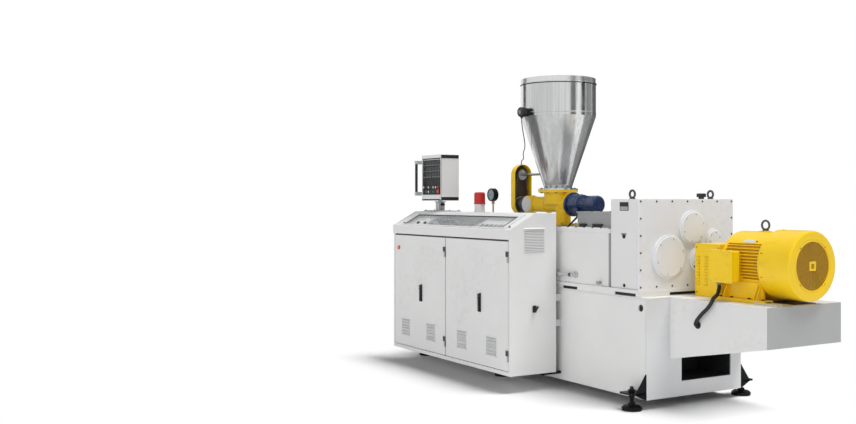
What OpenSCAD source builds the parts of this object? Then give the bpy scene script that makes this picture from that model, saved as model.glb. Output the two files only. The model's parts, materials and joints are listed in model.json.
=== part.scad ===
// Conical twin-screw plastic extruder with its drive, feeder, hopper and
// operator cabinet. Millimetres, +Z up, +X toward the drive motor.
// The operator stands on the -Y side. Lengths along X are measured from the
// drive end of the base frame, widths from the screw centreline.

/* [Base frame] */
// Length of the base frame
base_len = 2950; // [2850:10:3100]
// Width of the base frame
base_w = 910; // [870:2:940]
// Height of the deck above the floor
base_top = 762; // [730:2:790]
// Height of the frame's underside above the floor
base_clear = 67; // [55:1:90]
// Plate thickness of the base frame
base_plate = 12; // [8:1:16]

/* [Motor beam] */
// Overhang of the motor beam past the base frame
beam_len = 834; // [790:2:880]
// Near side of the beam, measured from the centreline
beam_near = 237; // [215:1:260]
// Depth of the beam where it meets the base frame
beam_root_h = 426; // [390:2:440]
// Depth of the beam at its free end
beam_tip_h = 260; // [230:2:300]

/* [Levelling feet] */
// Diameter of a foot pad
foot_pad_d = 140; // [120:2:160]
// Reach of a foot's screw out from the frame's side
foot_reach = 73; // [70:1:90]

/* [Gearbox] */
// Setback of the gearbox end plate from the end of the base frame
gear_setback = 75; // [60:1:110]
// Length of the gearbox housing
gear_len = 287; // [260:1:320]
// Width of the gearbox
gear_w = 912; // [880:2:930]
// Height of the gearbox
gear_h = 624; // [600:2:660]
// Length of the distribution box behind the gearbox
dist_len = 638; // [600:2:660]
// Height of the distribution box
dist_h = 413; // [390:1:440]

/* [Drive motor] */
// Offset of the motor shaft from the centreline
motor_y = 113; // [95:1:125]
// Height of the motor shaft above the deck
motor_rise = 248; // [240:1:262]
// Distance of the motor's drive-end shield from the base frame
motor_start = 316; // [310:1:340]
// Radius over the cooling fins
motor_r = 213; // [205:1:220]
// Length of the finned frame
motor_frame_len = 314; // [300:1:330]
// Length of the fan cover
fan_cover_len = 237; // [220:1:250]
// Radius of the fan cover
fan_cover_r = 224; // [218:1:230]

/* [Barrel] */
// Height of the screw centreline above the deck
barrel_rise = 278; // [270:1:290]
// Radius of the barrel
barrel_r = 125; // [115:1:130]
// Length of the barrel from the distribution box to its outlet flange
barrel_len = 2308; // [2300:2:2380]
// Distance of the feed opening from the distribution box
feed_pos = 482; // [470:1:500]
// Radius of the bolt circle on the outlet flange
outlet_bolt_r = 135; // [130:1:140]
// Radius of the outlet bore
outlet_bore_r = 60; // [50:1:70]

/* [Feeder and hopper] */
// Height of the feed throat's flange above the screw centreline
throat_rise = 181; // [175:1:200]
// Height of the feeder screw above the feed throat
feeder_rise = 171; // [165:1:190]
// Distance from the feed opening back to the hopper's centre
hopper_back = 71; // [60:1:90]
// Radius of the hopper's cylinder
hopper_r = 313; // [290:1:330]
// Height of the hopper's cone
hopper_cone_h = 609; // [580:1:640]
// Height of the hopper's cylinder
hopper_cyl_h = 274; // [250:1:300]

/* [Cabinet] */
// Length of the cabinet along the machine
cab_len = 1797; // [1751:2:1821]
// Distance of the cabinet's drive end from the end of the base frame
cab_start = 912; // [890:1:940]
// Depth of the cabinet with its doors
cab_depth = 423; // [400:1:440]
// Gap between the base frame and the cabinet
cab_gap = 61; // [61:1:90]
// Height of the cabinet's underside above the floor
cab_bottom = 130; // [115:1:145]
// Height of the front lip's lower edge
cab_lip_z = 1134; // [1120:1:1150]
// Height of the cabinet's top
cab_top = 1328; // [1310:1:1345]
// Sheet thickness of the cabinet
cab_sheet = 4; // [3:1:5]
// Thickness of a door
door_t = 25; // [22:1:28]

/* [Operator box] */
// Width of the operator box
op_w = 329; // [310:1:350]
// Depth of the operator box
op_d = 185; // [170:1:200]
// Height of the operator box
op_h = 402; // [380:1:420]
// Height of the operator box above the cabinet's top
op_lift = 95; // [90:1:110]

/* [Hidden] */
$fn = 64;

// Base frame
half_w = base_w / 2;
opening_y = [-131, 353];
opening_z0 = 171;
beam_bottom = base_top - beam_root_h;
beam_wall = 10;
foot_x = [-66, -1598, 124 - base_len];
foot_y = half_w + foot_reach;
foot_pad_h = 32;
foot_plate_t = 12;
foot_plate_z = min(109, cab_bottom - foot_plate_t - 9);
foot_plate_w = 132;
foot_screw_r = 14;
gusset_reach = 90;
foot_nut_h = 22;
thin_nut_h = 6;

// Gearbox
pad_h = 22;
pad_inner = 179;
pad_w = half_w - pad_inner;
sole_t = 26;
gear_z0 = base_top + pad_h + sole_t;
gear_top = gear_z0 + gear_h;
gear_face = -gear_setback;
gear_plate_t = 14;
gear_back = gear_face - gear_len;
dist_back = gear_back - dist_len;
dist_top = gear_z0 + dist_h;
dist_cover_h = 117;
joint_w = 26;
eye_x = (gear_face + gear_back) / 2;
eye_y = [-385, 376];
breather_y = 283;
cover_t = 20;
pipe_x = [gear_back - 610, gear_back - 387];
pipe_r = 15;
pipe_stand = 30;

// Drive motor
motor_z = base_top + motor_rise;
shield_t = 20;
frame_x0 = motor_start + shield_t;
frame_x1 = motor_start + motor_frame_len + shield_t;
motor_end = frame_x1 + fan_cover_len;
fin_depth = 24;
fin_step = 20;
fin_t = 6;
rail_end = frame_x1 + 44;
grille_r = 154;
box_x = [frame_x0 - 21, frame_x0 + 168];
box_y0 = motor_y - 310;
box_z = [motor_z - 125, motor_z + 90];
guard_x = [13, motor_start - 76];
guard_half = 128;
guard_top = motor_z + 115;
shaft_r = 32;
// Round covers on the gearbox end: y, z and radius of each
covers = [[-180, gear_z0 + 223, 152], [44, gear_z0 + 423, 122], [253, gear_z0 + 337, 75],
    [motor_y, motor_z, 92]];

// Barrel
barrel_z = base_top + barrel_rise;
barrel_end = dist_back - barrel_len;
outlet_t = 45;
outlet_r = 165;
feed_x = dist_back - feed_pos;
throat_top = barrel_z + throat_rise;
heater_r = barrel_r + 58;
heater_gap = 40;
heater_first = feed_x - 170;
heater_last = barrel_end + 56;
vent_room = [60, 130];
heater_step = (heater_first - heater_last - vent_room[0] - vent_room[1] + heater_gap) / 5;
heater_len = heater_step - heater_gap;
vent_x = heater_first - 2 * heater_step - vent_room[0];
heater_second = vent_x - vent_room[1];
support_x = heater_second - heater_len - heater_gap / 2;

// Feeder and hopper
feeder_z = throat_top + feeder_rise;
feeder_tube_r = 66;
spout_r = 62;
flange_t = 21;
neck_top = feeder_z + 120;
hopper_x = feed_x - hopper_back;
hopper_wall = 4;
hopper_neck_r = 112;
hopper_flange_r = 165;
cone_top = neck_top + hopper_cone_h;
hopper_top = cone_top + hopper_cyl_h;
lid_h = 46;
guard_back = 523;
guard_mid_x = hopper_x - guard_back;
guard_depth = 60;
guard_r = 91;
agitator_z = feeder_z + 259;
agitator_r = 11;
feeder_shaft_r = 24;
tube_x0 = guard_mid_x + 165;
motor_flange_x = feed_x + 122;
gearmotor_len = 330;

// Cabinet
cab_x1 = -cab_start;
cab_x0 = cab_x1 - cab_len;
pipe_clear = 15;
cab_back = -max(half_w + cab_gap, gear_w / 2 + pipe_stand + pipe_r + pipe_clear);
cab_front = cab_back - cab_depth;
door_gap = 5;
stop_y = cab_front + door_t + door_gap;
strip_w = 23;
plinth_h = 30;
door_z = [cab_bottom + plinth_h + door_gap, cab_lip_z - 13];
post_x = cab_x0 + 882;
lip_y = cab_front - 8;
lip_top = cab_lip_z + 67;
ridge_y = cab_back - 192;
slope_run = ridge_y - lip_y;
slope_rise = cab_top - lip_top;
slope_len = sqrt(slope_run * slope_run + slope_rise * slope_rise);
slope_dir = [slope_run / slope_len, slope_rise / slope_len];
slope_up = [-slope_dir[1], slope_dir[0]];
hinge_z = [277, 1007];
knuckle_r = 6;
knuckle_h = 40;
pin_r = 3.5;
hinge_y = cab_front - knuckle_r;
hinge_leaf_t = 2;
left_axis_x = post_x - hinge_leaf_t;
door_split = left_axis_x + knuckle_r + 5;
right_axis_x = cab_x1 - strip_w - door_gap / 2;
handle_z = 641;
handle_h = 147;
handle_reach = 24;
left_handle_x = post_x - 386;
right_handle_x = cab_x1 - 400;
vent_z = [248, 405];
vent_w = 160;
left_vents = [cab_x0 + 221, cab_x0 + 648];
right_vents = [cab_x1 - 666, cab_x1 - 248];
panel_z = [240, 1080];
panel_margin = [80, 40];
panel_back = 30;
panel_t = 3;
bracket_clear = foot_plate_w / 2 + 45;
bracket_x = [cab_x1 - 48, (cab_x0 + cab_x1) / 2, max(cab_x0 + 60, foot_x[2] + bracket_clear)];
bracket_z = [496, 690];
bracket_s = 50;

// Operator box and what stands on the cabinet
op_x = cab_x0 + 258;
stand_y = (ridge_y + cab_back) / 2;
op_z0 = cab_top + op_lift;
beacon_x = op_x + 635;
gauge_x = op_x + 834;
gauge_z = cab_top + 143;

// Origin: middle of the whole machine's outline, on the floor
far_edge = foot_y + foot_pad_d / 2;
near_edge = cab_front - handle_reach;
origin_x = (motor_end + barrel_end - outlet_t) / 2;
origin_y = (far_edge + near_edge) / 2;

// Routes of the cables. Each is a list of offsets from the gland that it leaves,
// then a list of offsets from the gland that it runs to.
terminal_gland = [box_x[0] + 45, box_y0 + 47, box_z[0] - 17];
beam_gland = [253, -beam_near, base_top - 167];
motor_cable_route = concat(
    [for (p = [[0, 0, 0], [0, 0, -6], [0, 0, -12], [5, -9, -32], [20, -40, -62]]) terminal_gland + p],
    [for (p = [[142, -4, 188], [144, -26, 160], [122, -36, 124], [78, -42, 82], [32, -38, 38],
        [8, -28, 10], [0, -14, 0], [0, -4, 0], [0, 6, 0]]) beam_gland + p]);
motor_cable_r = 13;
gearmotor_gland = [motor_flange_x + 128, -50, feeder_z - 74];
cabinet_gland = [cab_x1 - 446, cab_back + 11, cab_lip_z - 174];
gearmotor_cable_route = concat(
    [for (p = [[0, 0, 0], [0, 0, -6], [0, 0, -12], [-6, -14, -38], [-36, -70, -104], [-78, -150, -208]])
        gearmotor_gland + p],
    [for (p = [[16, 175, 52], [2, 65, 6], [0, 12, 0], [0, 6, 0], [0, 0, 0]]) cabinet_gland + p]);
gearmotor_cable_r = 8;
sensor_z = cone_top + 27;
sensor_head_r = 40;
sensor_gland = [hopper_x, -hopper_r - 61, sensor_z - sensor_head_r - 11];
guard_gland = [guard_mid_x, 0, agitator_z + guard_r + 6];
sensor_cable_route = concat(
    [for (p = [[0, 0, 0], [0, 0, -6], [0, 0, -12], [-4, 4, -34], [-47, 44, -88], [-134, 130, -208]])
        sensor_gland + p],
    [for (p = [[181, -110, 84], [64, -24, 44], [6, -2, 26], [0, 0, 14], [0, 0, 7], [0, 0, 0]])
        guard_gland + p]);
sensor_cable_r = 4;

paint = "#E9EAE6";
paint_shade = "#C9CBC8";
yellow = "#F2C31C";
black = "#1F2124";
steel = "#B8BCC0";
navy = "#1E3350";

module at_origin() { translate([-origin_x, -origin_y, 0]) children(); }

// A box between two corners
module bar(x0, x1, y0, y1, z0, z1) { translate([x0, y0, z0]) cube([x1 - x0, y1 - y0, z1 - z0]); }

// Round bars along each axis
module rod_x(x0, x1, y, z, r) { translate([x0, y, z]) rotate([0, 90, 0]) cylinder(h = x1 - x0, r = r); }
module rod_y(x, y0, y1, z, r) { translate([x, y1, z]) rotate([90, 0, 0]) cylinder(h = y1 - y0, r = r); }
module rod_z(x, y, z0, z1, r) { translate([x, y, z0]) cylinder(h = z1 - z0, r = r); }

// Extrudes an outline drawn in Y and Z along X
module along_x(x0, x1) { translate([x0, 0, 0]) rotate([90, 0, 90]) linear_extrude(x1 - x0) children(); }

// Extrudes an outline drawn in X and Z along Y
module along_y(y0, y1) { translate([0, y1, 0]) rotate([90, 0, 0]) linear_extrude(y1 - y0) children(); }

// A ring standing in the XZ plane on a shank, as on a lifting bolt
module eye_bolt(x, y, z, ring_r, bar_r) {
    translate([x, y, z + ring_r + bar_r]) rotate([90, 0, 0])
        rotate_extrude() translate([ring_r, 0]) circle(r = bar_r, $fn = 24);
    rod_z(x, y, z, z + 2 * bar_r, bar_r * 1.6);
}

// Points of a smooth curve through a route, three between each pair
function curve_point(p, i, t) =
    let (a = p[max(i - 1, 0)], b = p[i], c = p[i + 1], d = p[min(i + 2, len(p) - 1)])
    0.5 * ((2 * b) + (c - a) * t + (2 * a - 5 * b + 4 * c - d) * t * t
        + (3 * b - a - 3 * c + d) * t * t * t);
function curve(p, n) = concat(
    [for (i = [0 : len(p) - 2], k = [0 : n - 1]) curve_point(p, i, k / n)], [p[len(p) - 1]]);
function unit(v) = v / norm(v);
function tangent(p, i) = unit(p[min(i + 1, len(p) - 1)] - p[max(i - 1, 0)]);
function ring(c, t, side, r, n) =
    let (u = unit(cross(t, side)), v = cross(t, u))
    [for (k = [0 : n - 1]) c + r * (cos(360 * k / n) * u + sin(360 * k / n) * v)];

// A cable swept along a route
module cable(route, r, side, per_span = 3, sides = 8) {
    path = curve(route, per_span);
    count = len(path);
    points = [for (i = [0 : count - 1]) each ring(path[i], tangent(path, i), side, r, sides)];
    skin = [for (i = [0 : count - 2], k = [0 : sides - 1])
        [i * sides + k, i * sides + (k + 1) % sides,
         (i + 1) * sides + (k + 1) % sides, (i + 1) * sides + k]];
    start_cap = [for (k = [sides - 1 : -1 : 0]) k];
    end_cap = [for (k = [0 : sides - 1]) (count - 1) * sides + k];
    polyhedron(points = points, faces = concat([start_cap], skin, [end_cap]), convexity = 6);
}

// One side plate of the base frame, between two Y faces
module side_plate(y0, y1) {
    bar(base_plate - base_len, -base_plate, y0, y1, base_clear, base_top - base_plate);
}

module base_near_side() {
    color(paint) difference() {
        side_plate(-half_w, -half_w + base_plate);
        rod_y(-58, -half_w - 1, -half_w + base_plate + 1, 689, 24);
    }
}

module base_far_side() {
    color(paint) difference() {
        side_plate(half_w - base_plate, half_w);
        rod_y(-58, half_w - base_plate - 1, half_w + 1, 689, 24);
    }
}

module base_end_plate() {
    color(paint_shade) difference() {
        bar(-base_plate, 0, -half_w, half_w, base_clear, base_top - base_plate);
        bar(-base_plate - 1, 1, opening_y[0], opening_y[1], opening_z0, beam_bottom);
        bar(-base_plate - 1, 1, opening_y[0], opening_y[1], beam_bottom + 40, base_top - 60);
    }
}

module base_tail_plate() {
    color(paint_shade)
        bar(-base_len, base_plate - base_len, -half_w, half_w, base_clear, base_top - base_plate);
}

module base_deck() {
    color(paint) bar(-base_len, 0, -half_w, half_w, base_top - base_plate, base_top);
}

// Side view of the motor beam, shrunk by w on every face but the root
module beam_outline(w) {
    polygon([[0, base_top - w], [beam_len - w, base_top - w],
        [beam_len - w, base_top - beam_tip_h + w], [0, beam_bottom + w]]);
}

module motor_beam() {
    color(paint) difference() {
        along_y(-beam_near, half_w) beam_outline(0);
        translate([-1, 0, 0]) along_y(beam_wall - beam_near, half_w - beam_wall) beam_outline(beam_wall);
        rod_y(beam_gland[0], -beam_near - 1, beam_wall - beam_near + 1, beam_gland[2], 20);
    }
}

function under_cabinet(x) = x > cab_x0 && x < cab_x1;

// One foot bracket on the near side: a plate with a gusset toward the drive end
module foot_bracket(x) {
    plate_y = -foot_y - 55;
    reach = under_cabinet(x) ? cab_gap - 3 : gusset_reach;
    difference() {
        bar(x - foot_plate_w / 2, x + foot_plate_w / 2, plate_y, -half_w,
            foot_plate_z, foot_plate_z + foot_plate_t);
        rod_z(x, -foot_y, foot_plate_z - 1, foot_plate_z + foot_plate_t + 1, foot_screw_r + 0.3);
    }
    along_x(x + foot_plate_w / 2 - 12, x + foot_plate_w / 2)
        polygon([[-half_w, 245], [-half_w - reach, foot_plate_z + foot_plate_t],
            [-half_w - reach, foot_plate_z], [-half_w, foot_plate_z]]);
}

module foot_brackets() {
    color(black) for (x = foot_x) {
        foot_bracket(x);
        mirror([0, 1, 0]) foot_bracket(x);
    }
}

// A levelling foot: pad, swivel collar, screw and two nuts. Under the cabinet
// the upper nut is a thin one and the screw ends in it.
module levelling_foot(x, y) {
    plate_top = foot_plate_z + foot_plate_t;
    covered = y < 0 && under_cabinet(x);
    rod_z(x, y, 0, foot_pad_h - 10, foot_pad_d / 2);
    translate([x, y, foot_pad_h - 10])
        cylinder(h = 10, r1 = foot_pad_d / 2, r2 = foot_pad_d / 2 - 14);
    rod_z(x, y, foot_pad_h, foot_pad_h + 20, 24);
    rod_z(x, y, foot_pad_h + 20, plate_top + (covered ? thin_nut_h : 40), foot_screw_r);
    translate([x, y, foot_plate_z - foot_nut_h]) cylinder(h = foot_nut_h, r = 24, $fn = 6);
    translate([x, y, plate_top]) cylinder(h = covered ? thin_nut_h : foot_nut_h, r = 24, $fn = 6);
}

module levelling_feet() {
    color(black) for (x = foot_x, y = [-foot_y, foot_y]) levelling_foot(x, y);
}

module gearbox_sole_plate() {
    sole_x0 = dist_back - 12;
    sole_x1 = gear_face + 12;
    color(paint_shade) {
        bar(sole_x0, sole_x1, -gear_w / 2 - 10, gear_w / 2 + 10, base_top + pad_h, gear_z0);
        // Pads along both sides, with open slots between them
        for (s = [-1, 1]) translate([0, s * (half_w + pad_inner) / 2, 0]) {
            bar(sole_x0, sole_x0 + 104, -pad_w / 2, pad_w / 2, base_top, base_top + pad_h);
            bar(gear_back - 378, gear_back + 40, -pad_w / 2, pad_w / 2, base_top, base_top + pad_h);
            bar(gear_face - 34, sole_x1, -pad_w / 2, pad_w / 2, base_top, base_top + pad_h);
        }
    }
}

module gearbox_housing() {
    color(paint) bar(gear_back, gear_face - gear_plate_t, -gear_w / 2, gear_w / 2, gear_z0, gear_top);
}

module gearbox_end_plate() {
    color(paint_shade)
        bar(gear_face - gear_plate_t, gear_face, -gear_w / 2, gear_w / 2, gear_z0, gear_top);
}

// A round cover on the gearbox end plate with a raised middle
module round_cover(y, z, r) {
    rod_x(gear_face, gear_face + cover_t - 6, y, z, r);
    rod_x(gear_face + cover_t - 6, gear_face + cover_t, y, z, r - 12);
}

module gearbox_covers() {
    color(paint) for (c = covers) round_cover(c[0], c[1], c[2]);
}

module gearbox_fittings() {
    color(steel) {
        eye_bolt(eye_x, eye_y[0], gear_top, 26, 8);
        eye_bolt(eye_x, eye_y[1], gear_top, 26, 8);
    }
    color(black) {
        rod_z(eye_x, breather_y, gear_top, gear_top + 14, 20);
        rod_z(eye_x, breather_y, gear_top + 14, gear_top + 42, 34);
    }
}

module distribution_box() {
    color(paint) {
        bar(dist_back, gear_back - joint_w, -gear_w / 2, gear_w / 2, gear_z0, dist_top - 32);
        bar(gear_back - joint_w, gear_back, -gear_w / 2 + 26, gear_w / 2 - 26, gear_z0, dist_top - 32);
        bar(dist_back, gear_back, -gear_w / 2 - 6, gear_w / 2 + 6, dist_top - 32, dist_top);
    }
}

module distribution_cover() {
    color(paint_shade)
        bar(dist_back + 80, gear_back - 20, -gear_w / 2 + 150, gear_w / 2 - 150,
            dist_top, dist_top + dist_cover_h);
}

// Oil pipe along the near side with an elbow into the box at each end
module lubrication_pipe() {
    y = -gear_w / 2 - pipe_stand;
    z = gear_z0 + 62;
    color(paint) {
        rod_x(pipe_x[0], pipe_x[1], y, z, pipe_r);
        for (x = pipe_x) {
            translate([x, y, z]) sphere(r = pipe_r);
            rod_y(x, y, -gear_w / 2, z, pipe_r);
            rod_y(x, -gear_w / 2 - 10, -gear_w / 2, z, pipe_r + 11);
        }
    }
}

module coupling_shaft() {
    color(steel) {
        rod_x(gear_face + cover_t, motor_start, motor_y, motor_z, shaft_r);
        rod_x(70, 128, motor_y, motor_z, 88);
        rod_x(134, 192, motor_y, motor_z, 88);
    }
}

module coupling_guard() {
    y0 = motor_y - guard_half;
    y1 = motor_y + guard_half;
    slot_h = 9;
    color(yellow) difference() {
        bar(guard_x[0], guard_x[1], y0, y1, base_top, guard_top);
        bar(guard_x[0] + 4, guard_x[1] - 4, y0 + 4, y1 - 4, base_top - 1, guard_top - 4);
        rod_x(guard_x[0] - 1, guard_x[1] + 1, motor_y, motor_z, shaft_r + 12);
        for (k = [0 : 9], x = [26, 96])
            bar(x, x + 30, y0 - 1, y1 + 1, base_top + 76 + k * 21, base_top + 76 + k * 21 + slot_h);
    }
}

module motor_frame() {
    core_r = motor_r - fin_depth;
    shoulder_z = motor_z + 132;
    color(yellow) {
        // Core with level fins on both sides and a smooth shoulder over the top
        rod_x(frame_x0, frame_x1, motor_y, motor_z, core_r);
        intersection() {
            rod_x(frame_x0, frame_x1 - 6, motor_y, motor_z, motor_r - 4);
            bar(frame_x0, frame_x1, motor_y - motor_r, motor_y + motor_r, shoulder_z, motor_z + motor_r);
        }
        intersection() {
            rod_x(frame_x0, frame_x1 - 6, motor_y, motor_z, motor_r);
            for (k = [-6 : 6])
                bar(frame_x0 + 14, frame_x1 - 6, motor_y - motor_r, motor_y + motor_r,
                    motor_z + k * fin_step - fin_t / 2, motor_z + k * fin_step + fin_t / 2);
        }
        rod_x(motor_start, frame_x0 + 14, motor_y, motor_z, motor_r - 4);
        // Feet: two long rails, each with a web up to the frame
        for (s = [-1, 1]) {
            bar(motor_start - 31, rail_end, motor_y + s * 178 - 40, motor_y + s * 178 + 40,
                base_top, base_top + 22);
            bar(frame_x0, frame_x1 - 20, motor_y + s * 150 - 14, motor_y + s * 150 + 14,
                base_top + 22, motor_z - 95);
        }
        bar(frame_x0 + 150, frame_x0 + 210, motor_y - 30, motor_y + 30,
            motor_z + core_r - 10, motor_z + motor_r);
    }
    color(steel) eye_bolt(frame_x0 + 180, motor_y, motor_z + motor_r, 30, 7);
}

module motor_fan_cover() {
    edge = 16;
    color(yellow) translate([frame_x1 - 12, motor_y, motor_z]) rotate([0, 90, 0]) difference() {
        rotate_extrude($fn = 96) difference() {
            union() {
                square([fan_cover_r, fan_cover_len + 12 - edge]);
                square([fan_cover_r - edge, fan_cover_len + 12]);
                translate([fan_cover_r - edge, fan_cover_len + 12 - edge]) circle(r = edge, $fn = 48);
            }
            translate([-1, fan_cover_len + 4]) square([grille_r + 1, 20]);
        }
        translate([0, 0, -1]) cylinder(h = 13, r = fan_cover_r - 5);
    }
}

module motor_terminal_box() {
    neck_y = motor_y - motor_r + 8;
    color(yellow) difference() {
        union() {
            bar(box_x[0], box_x[1], box_y0, box_y0 + 20, box_z[0], box_z[1]);
            bar(box_x[0] + 6, box_x[1] - 6, box_y0 + 20, box_y0 + 84, box_z[0] + 6, box_z[1] - 6);
            bar(box_x[0] + 24, box_x[1] - 24, box_y0 + 84, motor_y - 150, box_z[0] + 24, box_z[1] - 24);
        }
        rod_x(box_x[0] - 40, box_x[1] + 40, motor_y, motor_z, motor_r + 0.2);
    }
}

module cable_glands() {
    color(black) {
        // Under the terminal box
        rod_z(terminal_gland[0], terminal_gland[1], terminal_gland[2], box_z[0] + 6, 20);
        // Grommet in the beam's side
        difference() {
            rod_y(beam_gland[0], -beam_near - 6, -beam_near, beam_gland[2], 27);
            rod_y(beam_gland[0], -beam_near - 7, -beam_near + 1, beam_gland[2], motor_cable_r + 0.5);
        }
        // On the cabinet's back, for the feeder's cable
        rod_y(cabinet_gland[0], cab_back, cabinet_gland[1], cabinet_gland[2], 12);
        // On top of the belt guard, for the sensor's cable
        rod_z(guard_mid_x, 0, agitator_z + guard_r, guard_gland[2], 8);
    }
}

module motor_cable() { color(black) cable(motor_cable_route, motor_cable_r, [0.2, 1, 0.1]); }
module gearmotor_cable() { color(black) cable(gearmotor_cable_route, gearmotor_cable_r, [1, -0.2, 0]); }
module sensor_cable() { color(black) cable(sensor_cable_route, sensor_cable_r, [0.7, 0.7, 0]); }

module barrel() {
    color(steel) difference() {
        union() {
            rod_x(barrel_end, dist_back, 0, barrel_z, barrel_r);
            rod_x(dist_back - 40, dist_back, 0, barrel_z, barrel_r + 65);
            bar(feed_x - 130, feed_x + 130, -130, 130, barrel_z - 60, throat_top - 20);
            bar(feed_x - 105, feed_x + 105, -105, 105, throat_top - 20, throat_top);
            rod_z(vent_x, 0, barrel_z, barrel_z + barrel_r + 90, 55);
            rod_z(vent_x, 0, barrel_z + barrel_r + 75, barrel_z + barrel_r + 90, 80);
        }
        rod_z(feed_x, 0, barrel_z + 20, throat_top + 1, spout_r - 6);
        rod_z(vent_x, 0, barrel_z + 60, barrel_z + barrel_r + 91, 42);
        rod_x(barrel_end - 1, barrel_end + 120, 0, barrel_z, outlet_bore_r);
    }
}

// Left ends of the heater bands, two before the vent and three after it
function heater_x(i) =
    (i < 2 ? heater_first - i * heater_step : heater_second - (i - 2) * heater_step) - heater_len;

module heater_bands() {
    color(steel) for (i = [0 : 4]) {
        difference() {
            union() {
                rod_x(heater_x(i), heater_x(i) + heater_len, 0, barrel_z, heater_r);
                bar(heater_x(i) + 70, heater_x(i) + heater_len - 70, heater_r - 30, heater_r + 55,
                    barrel_z - 50, barrel_z + 50);
            }
            rod_x(heater_x(i) - 1, heater_x(i) + heater_len + 1, 0, barrel_z, barrel_r);
        }
    }
}

module barrel_support() {
    color(paint_shade) difference() {
        union() {
            bar(support_x - 60, support_x + 60, -200, 200, base_top, base_top + 16);
            bar(support_x - 14, support_x + 14, -150, 150, base_top + 16, barrel_z);
            rod_x(support_x - 14, support_x + 14, 0, barrel_z, barrel_r + 26);
        }
        rod_x(support_x - 15, support_x + 15, 0, barrel_z, barrel_r);
    }
}

module outlet_flange() {
    color(steel) difference() {
        rod_x(barrel_end - outlet_t, barrel_end, 0, barrel_z, outlet_r);
        rod_x(barrel_end - outlet_t - 1, barrel_end + 1, 0, barrel_z, outlet_bore_r);
        for (k = [0 : 7])
            rod_x(barrel_end - outlet_t - 1, barrel_end + 1, outlet_bolt_r * cos(45 * k + 22.5),
                barrel_z + outlet_bolt_r * sin(45 * k + 22.5), 11);
    }
}

module feeder_housing() {
    color(yellow) difference() {
        union() {
            // Horizontal screw tube with its end flanges
            rod_x(tube_x0, motor_flange_x - 14, 0, feeder_z, feeder_tube_r);
            rod_x(motor_flange_x - 14, motor_flange_x, 0, feeder_z, 99);
            rod_x(guard_mid_x + 34, guard_mid_x + 56, 0, feeder_z, 52);
            rod_x(guard_mid_x + 56, tube_x0, 0, feeder_z, 72);
            // Neck under the hopper
            rod_z(hopper_x, 0, feeder_z, neck_top - flange_t, hopper_neck_r + 4);
            rod_z(hopper_x, 0, neck_top - flange_t, neck_top, hopper_flange_r);
            // Spout down to the barrel
            rod_z(feed_x, 0, throat_top + 14, feeder_z, spout_r);
            bar(feed_x - 90, feed_x + 90, -90, 90, throat_top, throat_top + 14);
        }
        rod_z(hopper_x, 0, feeder_z, neck_top + 1, hopper_neck_r - 6);
        rod_z(feed_x, 0, throat_top - 1, feeder_z, spout_r - 6);
        rod_x(guard_mid_x + 33, hopper_x - 60, 0, feeder_z, feeder_shaft_r);
        rod_x(hopper_x - 61, feed_x + 50, 0, feeder_z, feeder_tube_r - 8);
    }
}

module feeder_gearmotor() {
    x0 = motor_flange_x;
    color(navy) {
        rod_x(x0, x0 + 22, 0, feeder_z, 99);
        rod_x(x0 + 22, x0 + 110, 0, feeder_z, 84);
        rod_x(x0 + 110, x0 + 140, 0, feeder_z, 80);
        rod_x(x0 + 140, x0 + gearmotor_len, 0, feeder_z, 71);
        bar(x0 + 98, x0 + 158, -80, -20, feeder_z - 74, feeder_z - 30);
    }
}

// Outline of the belt guard: straight sides with a round top and bottom
module guard_outline(w) {
    translate([0, feeder_z]) circle(r = guard_r - w, $fn = 64);
    translate([0, agitator_z]) circle(r = guard_r - w, $fn = 64);
    translate([w - guard_r, feeder_z]) square([2 * (guard_r - w), agitator_z - feeder_z]);
}

module belt_guard() {
    x0 = guard_mid_x - guard_depth / 2;
    color(yellow) difference() {
        along_x(x0, x0 + guard_depth) guard_outline(0);
        along_x(x0 + 4, x0 + guard_depth + 1) guard_outline(4);
    }
}

module pulleys_and_belt() {
    x0 = guard_mid_x - guard_depth / 2 + 4;
    color(steel) {
        rod_x(x0, x0 + 16, 0, feeder_z, 40);
        rod_x(x0 + 16, x0 + 46, 0, feeder_z, 70);
        rod_x(x0 + 46, guard_mid_x + 34, 0, feeder_z, 40);
        rod_x(guard_mid_x + 34, hopper_x - 60, 0, feeder_z, feeder_shaft_r);
    }
    color(steel) difference() {
        union() {
            rod_x(x0, x0 + 16, 0, agitator_z, 30);
            rod_x(x0 + 16, x0 + 46, 0, agitator_z, 45);
        }
        rod_x(x0 - 1, x0 + 50, 0, agitator_z, agitator_r + 0.2);
    }
    // Belt
    color(black) difference() {
        along_x(x0 + 22, x0 + 40) {
            polygon([[-70, feeder_z], [70, feeder_z], [45, agitator_z], [-45, agitator_z]]);
            translate([0, feeder_z]) circle(r = 74);
            translate([0, agitator_z]) circle(r = 49);
        }
        rod_x(x0 + 16, x0 + 46, 0, feeder_z, 69);
        rod_x(x0 + 16, x0 + 46, 0, agitator_z, 44);
        along_x(x0 + 21, x0 + 41)
            polygon([[-62, feeder_z], [62, feeder_z], [40, agitator_z], [-40, agitator_z]]);
    }
}

module agitator_shaft() {
    x0 = guard_mid_x - guard_depth / 2 + 4;
    color(steel) {
        rod_x(x0, hopper_x + 60, 0, agitator_z, agitator_r);
        for (k = [-1, 1])
            rod_z(hopper_x + k * 40, 0, agitator_z - 60, agitator_z + 60, 5);
    }
}

module hopper_cone() {
    color("#C4C7CA") difference() {
        translate([hopper_x, 0, 0]) rotate_extrude($fn = 96) polygon([
            [hopper_neck_r - hopper_wall, neck_top], [hopper_flange_r, neck_top],
            [hopper_flange_r, neck_top + 12], [hopper_neck_r, neck_top + 12],
            [hopper_r, cone_top], [hopper_r - hopper_wall, cone_top],
            [hopper_neck_r - hopper_wall, neck_top + 12]]);
        rod_x(hopper_x - hopper_r, hopper_x, 0, agitator_z, agitator_r + 0.2);
    }
}

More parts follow.
